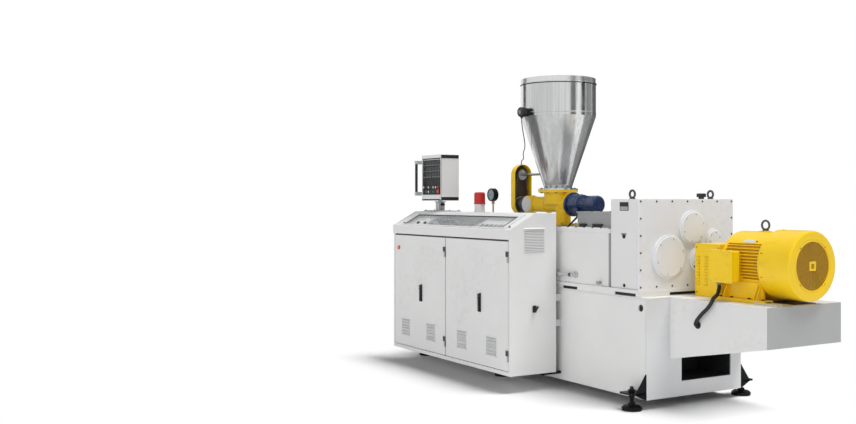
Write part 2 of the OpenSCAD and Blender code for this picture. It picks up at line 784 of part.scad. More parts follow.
module hopper_cylinder() {
    color("#C4C7CA") translate([hopper_x, 0, 0]) rotate_extrude($fn = 96) polygon([
        [hopper_r - hopper_wall, cone_top], [hopper_r, cone_top], [hopper_r, cone_top + 20],
        [hopper_r + 5, cone_top + 26], [hopper_r, cone_top + 32], [hopper_r, hopper_top - 8],
        [hopper_r + 6, hopper_top - 8], [hopper_r + 6, hopper_top], [hopper_r - hopper_wall, hopper_top]]);
}

module hopper_lid() {
    color("#D5D7D9") translate([hopper_x, 0, hopper_top]) rotate_extrude($fn = 96)
        polygon([[0, lid_h - 4], [hopper_r - 6, lid_h - 10], [hopper_r - 6, 0], [hopper_r - 2, 0],
            [hopper_r - 2, lid_h - 7], [hopper_r - 8, lid_h - 4], [0, lid_h]]);
}

module level_sensor() {
    color(black) difference() {
        union() {
            rod_y(hopper_x, -hopper_r - 28, -hopper_r + 20, sensor_z, 26);
            rod_y(hopper_x, -hopper_r - 82, -hopper_r - 28, sensor_z, sensor_head_r);
            rod_z(hopper_x, sensor_gland[1], sensor_gland[2], sensor_z - sensor_head_r + 6, 11);
        }
        rod_z(hopper_x, 0, hopper_top - 400, hopper_top + 1, hopper_r + 0.2);
        // Over the cylinder's bead
        rod_z(hopper_x, 0, cone_top + 18, cone_top + 34, hopper_r + 6);
    }
}

module cabinet_body() {
    t = cab_sheet;
    z0 = cab_bottom + plinth_h;
    color(paint) {
        difference() {
            bar(cab_x0, cab_x1, cab_front, cab_back, cab_bottom, cab_lip_z);
            // Inside, with a bay in front of it for the doors
            bar(cab_x0 + t, cab_x1 - t, stop_y + t, cab_back - t, z0, cab_lip_z + 1);
            bar(cab_x0 + strip_w, cab_x1 - strip_w, cab_front - 1, stop_y, z0, cab_lip_z + 1);
            // Two doorways through the door stop
            bar(cab_x0 + 40, post_x - 30, stop_y - 1, stop_y + t + 1, z0 + 24, cab_lip_z - 24);
            bar(post_x + 30, cab_x1 - 40, stop_y - 1, stop_y + t + 1, z0 + 24, cab_lip_z - 24);
            // Underside of the plinth
            bar(cab_x0 + t, cab_x1 - t, cab_front + t, cab_back - t, cab_bottom - 1, z0 - t);
        }
        // Fixed knuckles of the hinges with their leaves and pins
        for (x = [left_axis_x, right_axis_x], z = hinge_z) {
            rod_z(x, hinge_y, z - knuckle_h, z, knuckle_r);
            rod_z(x, hinge_y, z, z + knuckle_h - 4, pin_r);
            bar(x - hinge_leaf_t, x, hinge_y, stop_y, z - knuckle_h, z);
        }
    }
}

module cabinet_mounting_plate() {
    back = cab_back - cab_sheet;
    y0 = back - panel_back - panel_t;
    edges = [cab_x0 + panel_margin[0], post_x - panel_margin[1],
        post_x + panel_margin[1], cab_x1 - panel_margin[0]];
    color(steel) {
        bar(edges[0], edges[1], y0, y0 + panel_t, panel_z[0], panel_z[1]);
        bar(edges[2], edges[3], y0, y0 + panel_t, panel_z[0], panel_z[1]);
        // Spacers at the corners, 30 mm in from each edge
        for (i = [0 : 3], z = [panel_z[0] + 30, panel_z[1] - 30])
            rod_y(edges[i] + (i % 2 == 0 ? 30 : -30), y0 + panel_t, back, z, 8);
    }
}

// A point on the sloped desk, a along the slope and h above it
function desk(a, h) = [lip_y, lip_top] + a * slope_dir + h * slope_up;

module console_top() {
    t = cab_sheet;
    color(paint) {
        difference() {
            along_x(cab_x0, cab_x1) polygon([[lip_y, cab_lip_z], [lip_y, lip_top],
                [ridge_y, cab_top], [cab_back, cab_top], [cab_back, cab_lip_z]]);
            along_x(cab_x0 + t, cab_x1 - t) polygon([[lip_y + t, cab_lip_z + t], [lip_y + t, lip_top - t / 2],
                [ridge_y + t / 2, cab_top - t], [cab_back - t, cab_top - t], [cab_back - t, cab_lip_z + t]]);
            bar(cab_x0 + 30, cab_x1 - 30, stop_y + 30, cab_back - 30, cab_lip_z - 1, cab_lip_z + t + 1);
        }
    }
}

module console_window() {
    color(black) along_x(cab_x0 + 109, cab_x1 - 88)
        polygon([desk(22, 0.1), desk(slope_len - 22, 0.1), desk(slope_len - 22, 7), desk(22, 7)]);
}

// A door leaf from x0 to x1 with its hinge on the x1 side, and its vents
module door(x0, x1, axis_x, vents) {
    skin = 3;
    rim = 22;
    color(paint) difference() {
        union() {
            bar(x0, x1, cab_front, cab_front + door_t, door_z[0], door_z[1]);
            for (z = hinge_z) {
                rod_z(axis_x, hinge_y, z + 1, z + knuckle_h, knuckle_r);
                bar(axis_x - 26, axis_x, hinge_y - 3, cab_front + 0.5, z + 1, z + knuckle_h);
            }
        }
        // Hollow back of the folded leaf
        bar(x0 + rim, x1 - rim, cab_front + skin, cab_front + door_t + 1, door_z[0] + rim, door_z[1] - rim);
        // Clearance for the pins and the fixed leaves
        for (z = hinge_z) {
            rod_z(axis_x, hinge_y, z, z + knuckle_h + 1, pin_r + 0.3);
            bar(x1 - 10, x1 + 1, cab_front - 0.01, cab_front + door_t + 1, z - knuckle_h - 6, z - 1);
        }
        // Louvred vents
        for (v = vents, k = [0 : 5])
            bar(v - vent_w / 2 + 14, v + vent_w / 2 - 14, cab_front - 1, cab_front + skin + 1,
                vent_z[0] + 12 + k * 24, vent_z[0] + 22 + k * 24);
    }
}

// A swing handle on a door's face
module handle(x) {
    color(black) {
        bar(x - 13, x + 13, cab_front - 7, cab_front, handle_z - handle_h / 2, handle_z + handle_h / 2);
        bar(x - 10.5, x + 10.5, cab_front - handle_reach, cab_front - 7,
            handle_z + 30, handle_z + handle_h / 2 - 5);
        bar(x - 9, x + 9, cab_front - 21, cab_front - 11, handle_z - handle_h / 2 + 4, handle_z + 30);
    }
}

module left_door() {
    door(cab_x0 + strip_w + door_gap, post_x - door_gap, left_axis_x, left_vents);
}
module right_door() {
    door(door_split, cab_x1 - strip_w - door_gap, right_axis_x, right_vents);
}
module left_door_handle() { handle(left_handle_x); }
module right_door_handle() { handle(right_handle_x); }

// Bars from the base frame to the cabinet's back, and arms under its floor
module cabinet_brackets() {
    color(paint_shade) for (x = bracket_x, z = bracket_z)
        bar(x - bracket_s / 2, x + bracket_s / 2, cab_back, -half_w, z - bracket_s / 2, z + bracket_s / 2);
    color(black) for (x = bracket_x)
        bar(x - 30, x + 30, cab_back - 110, -half_w, cab_bottom - 18, cab_bottom);
}

module isolator_switch() {
    y = cab_back - 205;
    color(black) {
        bar(cab_x1, cab_x1 + 10, y - 16, y + 16, 590, 642);
        rod_x(cab_x1 + 10, cab_x1 + 24, y, 616, 13);
        bar(cab_x1 + 24, cab_x1 + 34, y - 5, y + 5, 598, 634);
    }
}

module operator_neck() {
    color(paint_shade) {
        bar(op_x - 189, op_x + 250, stand_y - 60, stand_y + 60, cab_top, cab_top + 10);
        bar(op_x - 30, op_x + 30, stand_y - 30, stand_y + 30, cab_top + 10, op_z0 - 14);
        rod_z(op_x, stand_y, op_z0 - 14, op_z0 - 5, 50);
        rod_z(op_x, stand_y, op_z0 - 5, op_z0 + 14, 20);
        rod_x(op_x + 30, op_x + 74, stand_y, op_z0 - 34, 7);
    }
}

module operator_box() {
    x0 = op_x - op_w / 2;
    x1 = op_x + op_w / 2;
    y0 = stand_y - op_d / 2;
    y1 = stand_y + op_d / 2;
    color(paint) difference() {
        bar(x0, x1, y0, y1, op_z0, op_z0 + op_h);
        // Recess of the control face
        bar(x0 + 12, x1 - 12, y0 - 1, y0 + 8, op_z0 + 52, op_z0 + op_h - 58);
        // Recessed side panels
        for (s = [x0 - 1, x1 - 4])
            bar(s, s + 5, y0 + 45, y1 - 6, op_z0 + 42, op_z0 + op_h - 40);
        rod_z(op_x, stand_y, op_z0 - 1, op_z0 + 15, 20.3);
    }
}

module operator_handle() {
    x = op_x - op_w / 2;
    y = stand_y - op_d / 2;
    z = op_z0 + op_h / 2;
    color(black) {
        for (s = [-1, 1]) {
            bar(x - 34, x, y, y + 24, z + s * 140 - 16, z + s * 140 + 16);
            bar(x - 34, x - 6, y - 58, y, z + s * 140 - 16, z + s * 140 + 16);
        }
        rod_z(x - 20, y - 45, z - 124, z + 124, 12);
    }
}

module beacon() {
    color(paint) rod_z(beacon_x, stand_y, cab_top, cab_top + 66, 45);
    color("#D2201C") {
        rod_z(beacon_x, stand_y, cab_top + 66, cab_top + 74, 48);
        rod_z(beacon_x, stand_y, cab_top + 74, cab_top + 150, 46);
        translate([beacon_x, stand_y, cab_top + 150]) cylinder(h = 15, r1 = 46, r2 = 33);
    }
}

module pressure_gauge() {
    color("#C9A23A") {
        rod_z(gauge_x, stand_y, cab_top, gauge_z - 74, 6);
        rod_z(gauge_x, stand_y, gauge_z - 74, gauge_z - 48, 12);
    }
    color(black) rod_y(gauge_x, stand_y - 26, stand_y + 22, gauge_z, 52);
}

at_origin() {
    base_near_side();
    base_far_side();
    base_end_plate();
    base_tail_plate();
    base_deck();
    motor_beam();
    foot_brackets();
    levelling_feet();
    gearbox_sole_plate();
    gearbox_housing();
    gearbox_end_plate();
    gearbox_covers();
    gearbox_fittings();
    distribution_box();
    distribution_cover();
    lubrication_pipe();
    coupling_shaft();
    coupling_guard();
    motor_frame();
    motor_fan_cover();
    motor_terminal_box();
    cable_glands();
    motor_cable();
    barrel();
    heater_bands();
    barrel_support();
    outlet_flange();
    feeder_housing();
    feeder_gearmotor();
    gearmotor_cable();
    belt_guard();
    pulleys_and_belt();
    agitator_shaft();
    hopper_cone();
    hopper_cylinder();
    hopper_lid();
    level_sensor();
    sensor_cable();
    cabinet_body();
    cabinet_mounting_plate();
    console_top();
    console_window();
    left_door();
    left_door_handle();
    right_door();
    right_door_handle();
    cabinet_brackets();
    isolator_switch();
    operator_neck();
    operator_box();
    operator_handle();
    beacon();
    pressure_gauge();
}
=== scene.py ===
"""Looks of the plastic extruder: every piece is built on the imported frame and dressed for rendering.

Sizes are in millimetres. X runs from the drive end of the base frame, Y from the screws' centreline and
Z from the floor; Piece.build turns them into metres in the frame.
"""

import json
import logging
import random
from dataclasses import dataclass
from enum import Enum
from math import asin, atan2, cos, degrees, hypot, pi, radians, sin, sqrt
from typing import Sequence

import bmesh
import bpy
from mathutils import Matrix, Vector
from mathutils.geometry import tessellate_polygon

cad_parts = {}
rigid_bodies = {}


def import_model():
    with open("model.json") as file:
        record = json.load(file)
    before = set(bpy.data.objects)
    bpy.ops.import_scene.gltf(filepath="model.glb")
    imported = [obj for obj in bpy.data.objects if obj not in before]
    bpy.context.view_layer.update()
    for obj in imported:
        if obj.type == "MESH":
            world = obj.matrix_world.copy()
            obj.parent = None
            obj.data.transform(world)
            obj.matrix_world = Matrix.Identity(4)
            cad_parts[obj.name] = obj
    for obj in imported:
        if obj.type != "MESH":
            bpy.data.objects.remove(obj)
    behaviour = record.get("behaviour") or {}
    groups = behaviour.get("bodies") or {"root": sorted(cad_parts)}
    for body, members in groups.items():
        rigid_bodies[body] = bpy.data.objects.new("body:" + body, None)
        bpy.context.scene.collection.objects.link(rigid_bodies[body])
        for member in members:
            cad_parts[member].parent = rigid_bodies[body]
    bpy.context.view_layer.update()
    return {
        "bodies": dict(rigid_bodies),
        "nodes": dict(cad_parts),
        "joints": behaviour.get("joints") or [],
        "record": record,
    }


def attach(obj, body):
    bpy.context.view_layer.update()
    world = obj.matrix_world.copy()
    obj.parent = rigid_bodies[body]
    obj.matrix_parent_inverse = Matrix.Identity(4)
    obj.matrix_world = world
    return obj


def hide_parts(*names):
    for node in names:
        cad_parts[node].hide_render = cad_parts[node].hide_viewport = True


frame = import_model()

LOG = logging.getLogger("extruder")
MM = 0.001
ORIGIN = Vector((1.233, 0.1825, 0.0))
SHARP_ANGLE = radians(47)
DICE = random.Random(11)

DECK = 762.0
FEED_X = -1482.0
THROAT = 1221.0
HOPPER_X = -1553.0
AGITATOR_Z = 1651.0
MOTOR_Y = 113.0
MOTOR_Z = 1010.0
CABINET_X0 = -2709.0
CABINET_X1 = -912.0
CABINET_BACK = -516.0
CABINET_TOP = 1328.0
FRAME_SIDE = 455.0
CABINET_GLAND = (-1358.0, CABINET_BACK, 960.0)
BELT_GLAND = (-2076.0, 0.0, 1742.0)

Pair = tuple[float, float]
Triple = tuple[float, float, float]
Outline = list[Triple]
Socket = bpy.types.NodeSocket


class Body(Enum):
    """The CAD body that a piece moves with."""

    MACHINE = "machine"
    LEFT_DOOR = "left_door"
    RIGHT_DOOR = "right_door"
    OPERATOR_PANEL = "operator_panel"


class Axis(Enum):
    """The direction in which an outline is extruded or a profile is turned."""

    X = (1, 2, 0)
    Y = (0, 2, 1)
    Z = (0, 1, 2)

    def place(self, u: float, v: float, w: float) -> Vector:
        """Puts a drawn point (u, v) at the distance w along the axis.

        Args:
            u: its place along the drawing.
            v: its place up the drawing.
            w: how far along the axis it lies.

        Returns:
            The place in the machine's own directions.
        """
        spot = Vector()
        for i, distance in zip(self.value, (u, v, w)):
            spot[i] = distance
        return spot

    def split(self, spot: Sequence[float]) -> Triple:
        """A place as it is drawn: u and v across the axis and w along it."""
        return tuple(spot[i] for i in self.value)


X, Y, Z = Axis


def rounded(points: Sequence[Pair], radius: float, steps: int = 2, closed: bool = True) -> Outline:
    """Rounds the corners of an outline or a profile.

    Args:
        points: corners, in order.
        radius: how far each rounding reaches back along its edges.
        steps: facets in each rounding.
        closed: True for an outline, False for a profile whose two ends stay as they are.

    Returns:
        Points with a third value, 1 where the edge is open to wear and 0 elsewhere.
    """
    count = len(points)
    result: Outline = []
    for i, (u, v) in enumerate(points):
        if not closed and i in (0, count - 1) or radius <= 0:
            result.append((u, v, 0.0))
            continue
        corner = Vector((u, v))
        before = Vector(points[i - 1]) - corner
        after = Vector(points[(i + 1) % count]) - corner
        reach = min(radius, 0.45 * before.length, 0.45 * after.length)
        start = corner + before.normalized() * reach
        end = corner + after.normalized() * reach
        for k in range(steps + 1):
            t = k / steps
            p = start * (1 - t) ** 2 + corner * 2 * t * (1 - t) + end * t * t
            result.append((p.x, p.y, 1.0 if 0 < k < steps else 0.0))
    return result


def rect(u0: float, u1: float, v0: float, v1: float, radius: float = 2.0, steps: int = 2) -> Outline:
    """A rectangle between two corners, with rounded corners."""
    return rounded([(u0, v0), (u1, v0), (u1, v1), (u0, v1)], radius, steps)


def contour(points: Sequence[Pair], radius: float) -> Outline:
    """A profile for the lathe that starts and ends on the axis, with its corners rounded."""
    return rounded(points, radius, closed=False)


def arc(u: float, v: float, radius: float, start: float, end: float, steps: int) -> list[Pair]:
    """Points along an arc round (u, v) between two angles in degrees, both ends among them."""
    turns = [radians(start + (end - start) * k / steps) for k in range(steps + 1)]
    return [(u + radius * cos(a), v + radius * sin(a)) for a in turns]


def spread(count: int, radius: float, start: float = 0.0) -> list[Pair]:
    """Places spread evenly round a circle about zero, the first at the angle start."""
    return arc(0, 0, radius, start, start + 360, count)[:-1]


def disc(u: float, v: float, radius: float, sides: int = 32) -> Outline:
    """A circle as an outline."""
    return rounded(arc(u, v, radius, 0, 360, sides)[:-1], 0)


def area(outline: Outline) -> float:
    """Twice the signed area of an outline, positive when it runs anticlockwise."""
    return sum(a[0] * b[1] - b[0] * a[1] for a, b in zip(outline, outline[1:] + outline[:1]))


def offset(outline: Outline, distance: float) -> Outline:
    """Moves an anticlockwise outline inward, or outward for a negative distance.

    Args:
        outline: the outline to move.
        distance: how far each edge moves.

    Returns:
        The moved outline, point for point.
    """
    result: Outline = []
    count = len(outline)
    for i, (u, v, worn) in enumerate(outline):
        a, b = outline[i - 1], outline[(i + 1) % count]
        before = Vector((u - a[0], v - a[1])).normalized()
        after = Vector((b[0] - u, b[1] - v)).normalized()
        n1, n2 = Vector((-before.y, before.x)), Vector((-after.y, after.x))
        push = (n1 + n2) / max(0.3, 1 + n1.dot(n2)) * distance
        result.append((u + push.x, v + push.y, worn))
    return result


def smooth_path(points: Sequence[Triple], per_span: int = 8) -> list[Vector]:
    """Points of a smooth curve through a route.

    Args:
        points: the route.
        per_span: points between each pair of the route's points.

    Returns:
        The curve's points, the route's own among them.
    """
    p = [Vector(q) for q in points]
    result = []
    for i in range(len(p) - 1):
        a, b, c, d = p[max(i - 1, 0)], p[i], p[i + 1], p[min(i + 2, len(p) - 1)]
        for k in range(per_span):
            t = k / per_span
            result.append(0.5 * (2 * b + (c - a) * t + (2 * a - 5 * b + 4 * c - d) * t * t
                                 + (3 * b - a - 3 * c + d) * t ** 3))
    return result + [p[-1]]


class Piece:
    """One piece of the visual model, put together from closed solids."""

    def __init__(self, name: str, finish: "Finish | None" = None) -> None:
        """Starts an empty piece with that name and, where it is given, its first finish.

        Args:
            name: the piece's name.
            finish: the finish of its first solids.
        """
        self.name = name
        self.mesh = bmesh.new()
        self.worn = self.mesh.verts.layers.float.new("worn")
        self.finishes: list["Finish"] = []
        self.index = 0
        self.plane: Matrix | None = None
        if finish:
            self.dress(finish)

    def dress(self, finish: "Finish") -> "Piece":
        """Says which finish the solids that follow have.

        Args:
            finish: that finish.

        Returns:
            The piece, so that calls can follow each other.
        """
        if finish not in self.finishes:
            self.finishes.append(finish)
        self.index = self.finishes.index(finish)
        return self

    def lean(self, plane: Matrix | None) -> "Piece":
        """Lays the solids that follow on a plane of their own, or with None on the machine's again."""
        self.plane = plane
        return self

    def _vert(self, place: Vector, worn: float = 0.0) -> bmesh.types.BMVert:
        """Adds a vertex with its wear.

        Args:
            place: where it lies.
            worn: how much its edge wears, 0 to 1.

        Returns:
            The vertex.
        """
        vert = self.mesh.verts.new(self.plane @ place if self.plane else place)
        vert[self.worn] = worn
        return vert

    def _face(self, verts: Sequence[bmesh.types.BMVert]) -> None:
        """Adds a face with the finish in use."""
        self.mesh.faces.new(verts).material_index = self.index

    def prism(self, axis: Axis, w0: float, w1: float, outer: Outline, holes: Sequence[Outline] = (),
              bevel: float = 1.5, steps: int = 2) -> "Piece":
        """Extrudes an outline with holes and rounds its rims.

        Args:
            axis: the direction of the extrusion.
            w0: where it starts along the axis.
            w1: where it ends.
            outer: the outline.
            holes: outlines of holes right through it.
            bevel: radius of the rounding along both rims.
            steps: facets in each rounding.

        Returns:
            The piece itself.
        """
        w0, w1 = min(w0, w1), max(w0, w1)
        bevel = min(bevel, 0.45 * (w1 - w0))
        levels = []
        for k in range(steps + 1 if bevel > 0 else 1):
            turn = pi / 2 * k / steps if bevel > 0 else pi / 2
            levels.append((w0 + bevel * (1 - cos(turn)), bevel * (1 - sin(turn)), 0 < k < steps))
        levels += [(w0 + w1 - w, shrink, worn) for w, shrink, worn in reversed(levels)]
        contours = []
        for n, outline in enumerate([outer, *holes]):
            loop = outline if area(outline) > 0 else outline[::-1]
            rings = []
            for w, shrink, worn in levels:
                moved = offset(loop, shrink if n == 0 else -shrink)
                rings.append([self._vert(axis.place(u, v, w), max(float(worn), edge)) for u, v, edge in moved])
            for low, high in zip(rings, rings[1:]):
                for i in range(len(low)):
                    j = (i + 1) % len(low)
                    self._face([low[i], low[j], high[j], high[i]])
            contours.append(rings)
        for end in (0, -1):
            loops = [rings[end] for rings in contours]
            if len(loops) == 1:
                self._face(loops[0])
                continue
            flat = [vert for loop in loops for vert in loop]
            drawn = [[Vector((*axis.split(vert.co)[:2], 0)) for vert in loop] for loop in loops]
            for triangle in tessellate_polygon(drawn):
                self._face([flat[i] for i in triangle])
        return self

    def bar(self, x0: float, x1: float, y0: float, y1: float, z0: float, z1: float, bevel: float = 1.5) -> "Piece":
        """Adds a block between two corners with all its edges rounded."""
        return self.prism(Z, z0, z1, rect(x0, x1, y0, y1, bevel), bevel=bevel)

    def lathe(self, axis: Axis, at: Triple, profile: Sequence[Sequence[float]], sides: int = 48,
              turned: float = 0.0) -> "Piece":
        """Turns a profile round an axis.

        Args:
            axis: the axis of the turning.
            at: where the profile's zero height is, on the axis.
            profile: points of radius, height and, as a third value, wear. It is closed where it
                meets the axis at both ends, and otherwise its ends are joined.
            sides: facets round the axis.
            turned: degrees by which the facets are turned.

        Returns:
            The piece itself.
        """
        u0, v0, w0 = axis.split(at)
        rings = []
        for radius, height, *worn in profile:
            around = spread(sides, radius, turned) if radius > 1e-6 else [(0.0, 0.0)]
            rings.append([self._vert(axis.place(u0 + u, v0 + v, w0 + height), *worn) for u, v in around])
        pairs = list(zip(rings, rings[1:]))
        if len(rings[0]) > 1 and len(rings[-1]) > 1:
            pairs.append((rings[-1], rings[0]))
        for low, high in pairs:
            if len(low) == len(high) == 1:
                continue
            for i in range(sides):
                j = (i + 1) % sides
                quad = [low[i % len(low)], low[j % len(low)], high[j % len(high)], high[i % len(high)]]
                self._face(list(dict.fromkeys(quad)))
        return self

    def rod(self, axis: Axis, start: float, end: float, u: float, v: float, radius: float, bevel: float = 1.5,
            sides: int = 32) -> "Piece":
        """Adds a round bar from start to end along the axis, at (u, v) across it, with rounded rims."""
        profile = contour([(0, start), (radius, start), (radius, end), (0, end)], bevel)
        return self.lathe(axis, axis.place(u, v, 0), profile, sides)

    def tube(self, points: Sequence[Sequence[float]], radius: float, sides: int = 12) -> "Piece":
        """Sweeps a round section along a path.

        Args:
            points: the path.
            radius: the section's radius.
            sides: facets round it.

        Returns:
            The piece itself.
        """
        points = [Vector(point) for point in points]
        side = Vector((0.31, 0.77, 0.55))
        rings = []
        for i, point in enumerate(points):
            ahead = (points[min(i + 1, len(points) - 1)] - points[max(i - 1, 0)]).normalized()
            side = (side - ahead * side.dot(ahead)).normalized()
            other = ahead.cross(side)
            rings.append([self._vert(point + u * side + v * other) for u, v in spread(sides, radius)])
        for low, high in zip(rings, rings[1:]):
            for i in range(sides):
                j = (i + 1) % sides
                self._face([low[i], low[j], high[j], high[i]])
        self._face(rings[0])
        self._face(rings[-1])
        return self

    def ring(self, axis: Axis, at: Triple, radius: float, wire: float, sides: int = 48, facets: int = 8) -> "Piece":
        """Adds a round wire bent into a ring about an axis through a point."""
        return self.lathe(axis, at, arc(radius, 0, wire, 0, 360, facets)[:-1], sides)

    def hex_bolt(self, axis: Axis, at: Triple, radius: float, out: int = 1) -> "Piece":
        """Adds a hexagon head on its washer, standing out along the axis when out is 1 or against it at -1.

        Args:
            axis: the bolt's axis.
            at: the middle of its seat.
            radius: the head's radius over its corners.
            out: 1 or -1, the way in which it stands out.

        Returns:
            The piece.
        """
        low, high = out * radius * 0.2, out * radius * 0.75
        washer = [(0, 0), (radius * 1.35, 0), (radius * 1.35, low), (0, low)]
        head = [(0, low), (radius, low, 0.3), (radius, 0.8 * high, 1), (radius * 0.86, high, 1), (0, high)]
        self.lathe(axis, at, washer, 16)
        return self.lathe(axis, at, head, 6, DICE.uniform(0, 60))

    def screw(self, axis: Axis, at: Triple, radius: float, out: int = 1) -> "Piece":
        """Adds a round screw head with a socket, standing out along the axis or against it.

        Args:
            axis: the screw's axis.
            at: the middle of its seat.
            radius: the head's radius.
            out: 1 or -1, the way in which it stands out.

        Returns:
            The piece.
        """
        high = out * radius * 0.7
        head = [(0, 0), (radius, 0), (radius, high * 0.7, 0.5), (radius * 0.85, high, 1), (radius * 0.5, high),
                (radius * 0.45, high * 0.35), (0, high * 0.3)]
        return self.lathe(axis, at, head, 14)

    def build(self, *replaces: str, body: Body = Body.MACHINE, slot: str = "") -> bpy.types.Object:
        """Turns the piece into an object of the scene that moves with its body.

        Args:
            replaces: the CAD nodes that it stands for.
            body: the body that it rides on.
            slot: the record's material slot, when it isn't the first replaced node's; it is not used.

        Returns:
            The new object.
        """
        bmesh.ops.recalc_face_normals(self.mesh, faces=self.mesh.faces)
        for vert in self.mesh.verts:
            vert.co = vert.co * MM + ORIGIN
        data = bpy.data.meshes.new(self.name)
        self.mesh.to_mesh(data)
        self.mesh.free()
        for finish in self.finishes:
            data.materials.append(finish.material())
        data.shade_smooth()
        data.set_sharp_from_angle(angle=SHARP_ANGLE)
        made = bpy.data.objects.new(self.name, data)
        bpy.context.scene.collection.objects.link(made)
        weighted = made.modifiers.new("even_shading", "WEIGHTED_NORMAL")
        weighted.keep_sharp = True
        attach(made, body.value)
        if replaces:
            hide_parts(*replaces)
        LOG.info("%s: %d faces on %s", self.name, len(data.polygons), body.value)
        return made


class Nodes:
    """A node tree with short ways to add nodes and to join them."""

    def __init__(self, tree: bpy.types.NodeTree) -> None:
        """Takes a tree over."""
        self.tree = tree

    def link(self, source: Socket, target: Socket) -> None:
        """Joins two sockets."""
        self.tree.links.new(source, target)

    def add(self, kind: str, operation: str = "", **values: float | Sequence[float]) -> bpy.types.Node:
        """Adds a node, sets what it works out and some of its sockets, words joined by underscores.

        Args:
            kind: the node's type, without the part that all shader nodes share.
            operation: what it works out.
            values: values for its sockets.

        Returns:
            The node.
        """
        node = self.tree.nodes.new(f"ShaderNode{kind}")
        if operation:
            node.operation = operation
        for name, value in values.items():
            node.inputs[name.replace("_", " ")].default_value = value
        return node

    def mix(self, amount: Socket, first: bpy.types.Node, second: bpy.types.Node, output: str) -> None:
        """Sends a mixture of two shaders to the output node's surface.

        Args:
            amount: how much of the second there is, 0 to 1.
            first: the shader seen at 0.
            second: the shader seen at 1.
            output: the output node's name.
        """
        node = self.add("MixShader")
        for source, target in zip((amount, first.outputs[0], second.outputs[0]), node.inputs):
            self.link(source, target)
        self.link(node.outputs["Shader"], self.tree.nodes[output].inputs["Surface"])


class Shader(Nodes):
    """A material's node tree."""

    def __init__(self, name: str) -> None:
        """Starts a material that holds a Principled shader alone.

        Args:
            name: the material's name.
        """
        self.material = bpy.data.materials.new(name)
        self.material.use_nodes = True
        super().__init__(self.material.node_tree)
        self.main = self.tree.nodes["Principled BSDF"]
        self.place = self.add("TexCoord").outputs["Object"]

    def stretched(self, scale: Triple) -> Socket:
        """The object's coordinates, stretched by a factor along each axis.

        Args:
            scale: the three factors.

        Returns:
            The stretched coordinates.
        """
        node = self.add("Mapping", Scale=scale)
        self.link(self.place, node.inputs["Vector"])
        return node.outputs["Vector"]

    def noise(self, scale: float, detail: float = 3.0, rough: float = 0.55, place: Socket | None = None) -> Socket:
        """Adds a noise texture.

        Args:
            scale: how fine it is.
            detail: its octaves.
            rough: how strong the finer octaves are.
            place: coordinates to read, or None for the object's own.

        Returns:
            Its value.
        """
        node = self.add("TexNoise", Scale=scale, Detail=detail, Roughness=rough)
        self.link(place or self.place, node.inputs["Vector"])
        return node.outputs["Fac"]

    def ramp(self, value: Socket, low: float, high: float, start: float = 0.0, end: float = 1.0) -> Socket:
        """Maps a value from one range to another, clamped.

        Args:
            value: the value.
            low: what gives start.
            high: what gives end.
            start: the result at low.
            end: the result at high.

        Returns:
            The mapped value.
        """
        node = self.add("MapRange", From_Min=low, From_Max=high, To_Min=start, To_Max=end)
        self.link(value, node.inputs["Value"])
        return node.outputs["Result"]

    def blend(self, amount: Socket, first: Triple | Socket, second: Triple | Socket) -> Socket:
        """Mixes two colours.

        Args:
            amount: how much of the second one shows.
            first: a colour or a socket.
            second: a colour or a socket.

        Returns:
            The mixed colour.
        """
        node = self.add("Mix")
        node.data_type = "RGBA"
        self.link(amount, node.inputs[0])
        for colour, target in ((first, node.inputs[6]), (second, node.inputs[7])):
            if isinstance(colour, tuple):
                target.default_value = (*colour, 1.0)
            else:
                self.link(colour, target)
        return node.outputs[2]

    def wear(self, amount: float) -> Socket:
        """How worn an open edge is, broken up by noise.

        Args:
            amount: the most wear there is.

        Returns:
            The wear, from 0 to 1.
        """
        edge, product = self.add("Attribute"), self.add("Math", "MULTIPLY")
        edge.attribute_name = "worn"
        self.link(edge.outputs["Fac"], product.inputs[0])
        self.link(self.ramp(self.noise(23.0, 4.0, 0.7), 0.5, 0.66, 0.0, amount), product.inputs[1])
        return product.outputs["Value"]

    def bump(self, height: Socket, strength: float, distance: float) -> None:
        """Adds a height to the shader's bump, on what is there already.

        Args:
            height: the height, 0 to 1.
            strength: how much of it shows.
            distance: how high 1 stands, in metres.
        """
        node = self.add("Bump", Strength=strength, Distance=distance)
        normal = self.main.inputs["Normal"]
        if normal.is_linked:
            self.link(normal.links[0].from_socket, node.inputs["Normal"])
        self.link(height, node.inputs["Height"])
        self.link(node.outputs["Normal"], normal)

    def colour(self, source: Socket) -> None:
        """Gives the shader its base colour."""
        self.link(source, self.main.inputs["Base Color"])

    def roughness(self, source: Socket) -> None:
        """Gives the shader its roughness."""
        self.link(source, self.main.inputs["Roughness"])

    def fix(self, **values: float) -> None:
        """Sets sockets of the shader that are the same all over, words joined by underscores."""
        for name, value in values.items():
            self.main.inputs[name.replace("_", " ")].default_value = value


def tint(colour: Triple, factor: float) -> Triple:
    """A colour made lighter or darker by a factor."""
    return tuple(min(1.0, c * factor) for c in colour)


@dataclass(frozen=True)
class Finish:
    """A finish that pieces are dressed in. Its material is made once, when it is first used."""

    name: str
    colour: Triple
    rough: float = 0.4

    def material(self) -> bpy.types.Material:
        """The finish's material.

        Returns:
            The material, which is made at its first use.
        """
        if self.name not in bpy.data.materials:
            self.make(Shader(self.name))
        return bpy.data.materials[self.name]

    def make(self, shader: Shader) -> None:
        """Fills in the node tree."""
        raise NotImplementedError


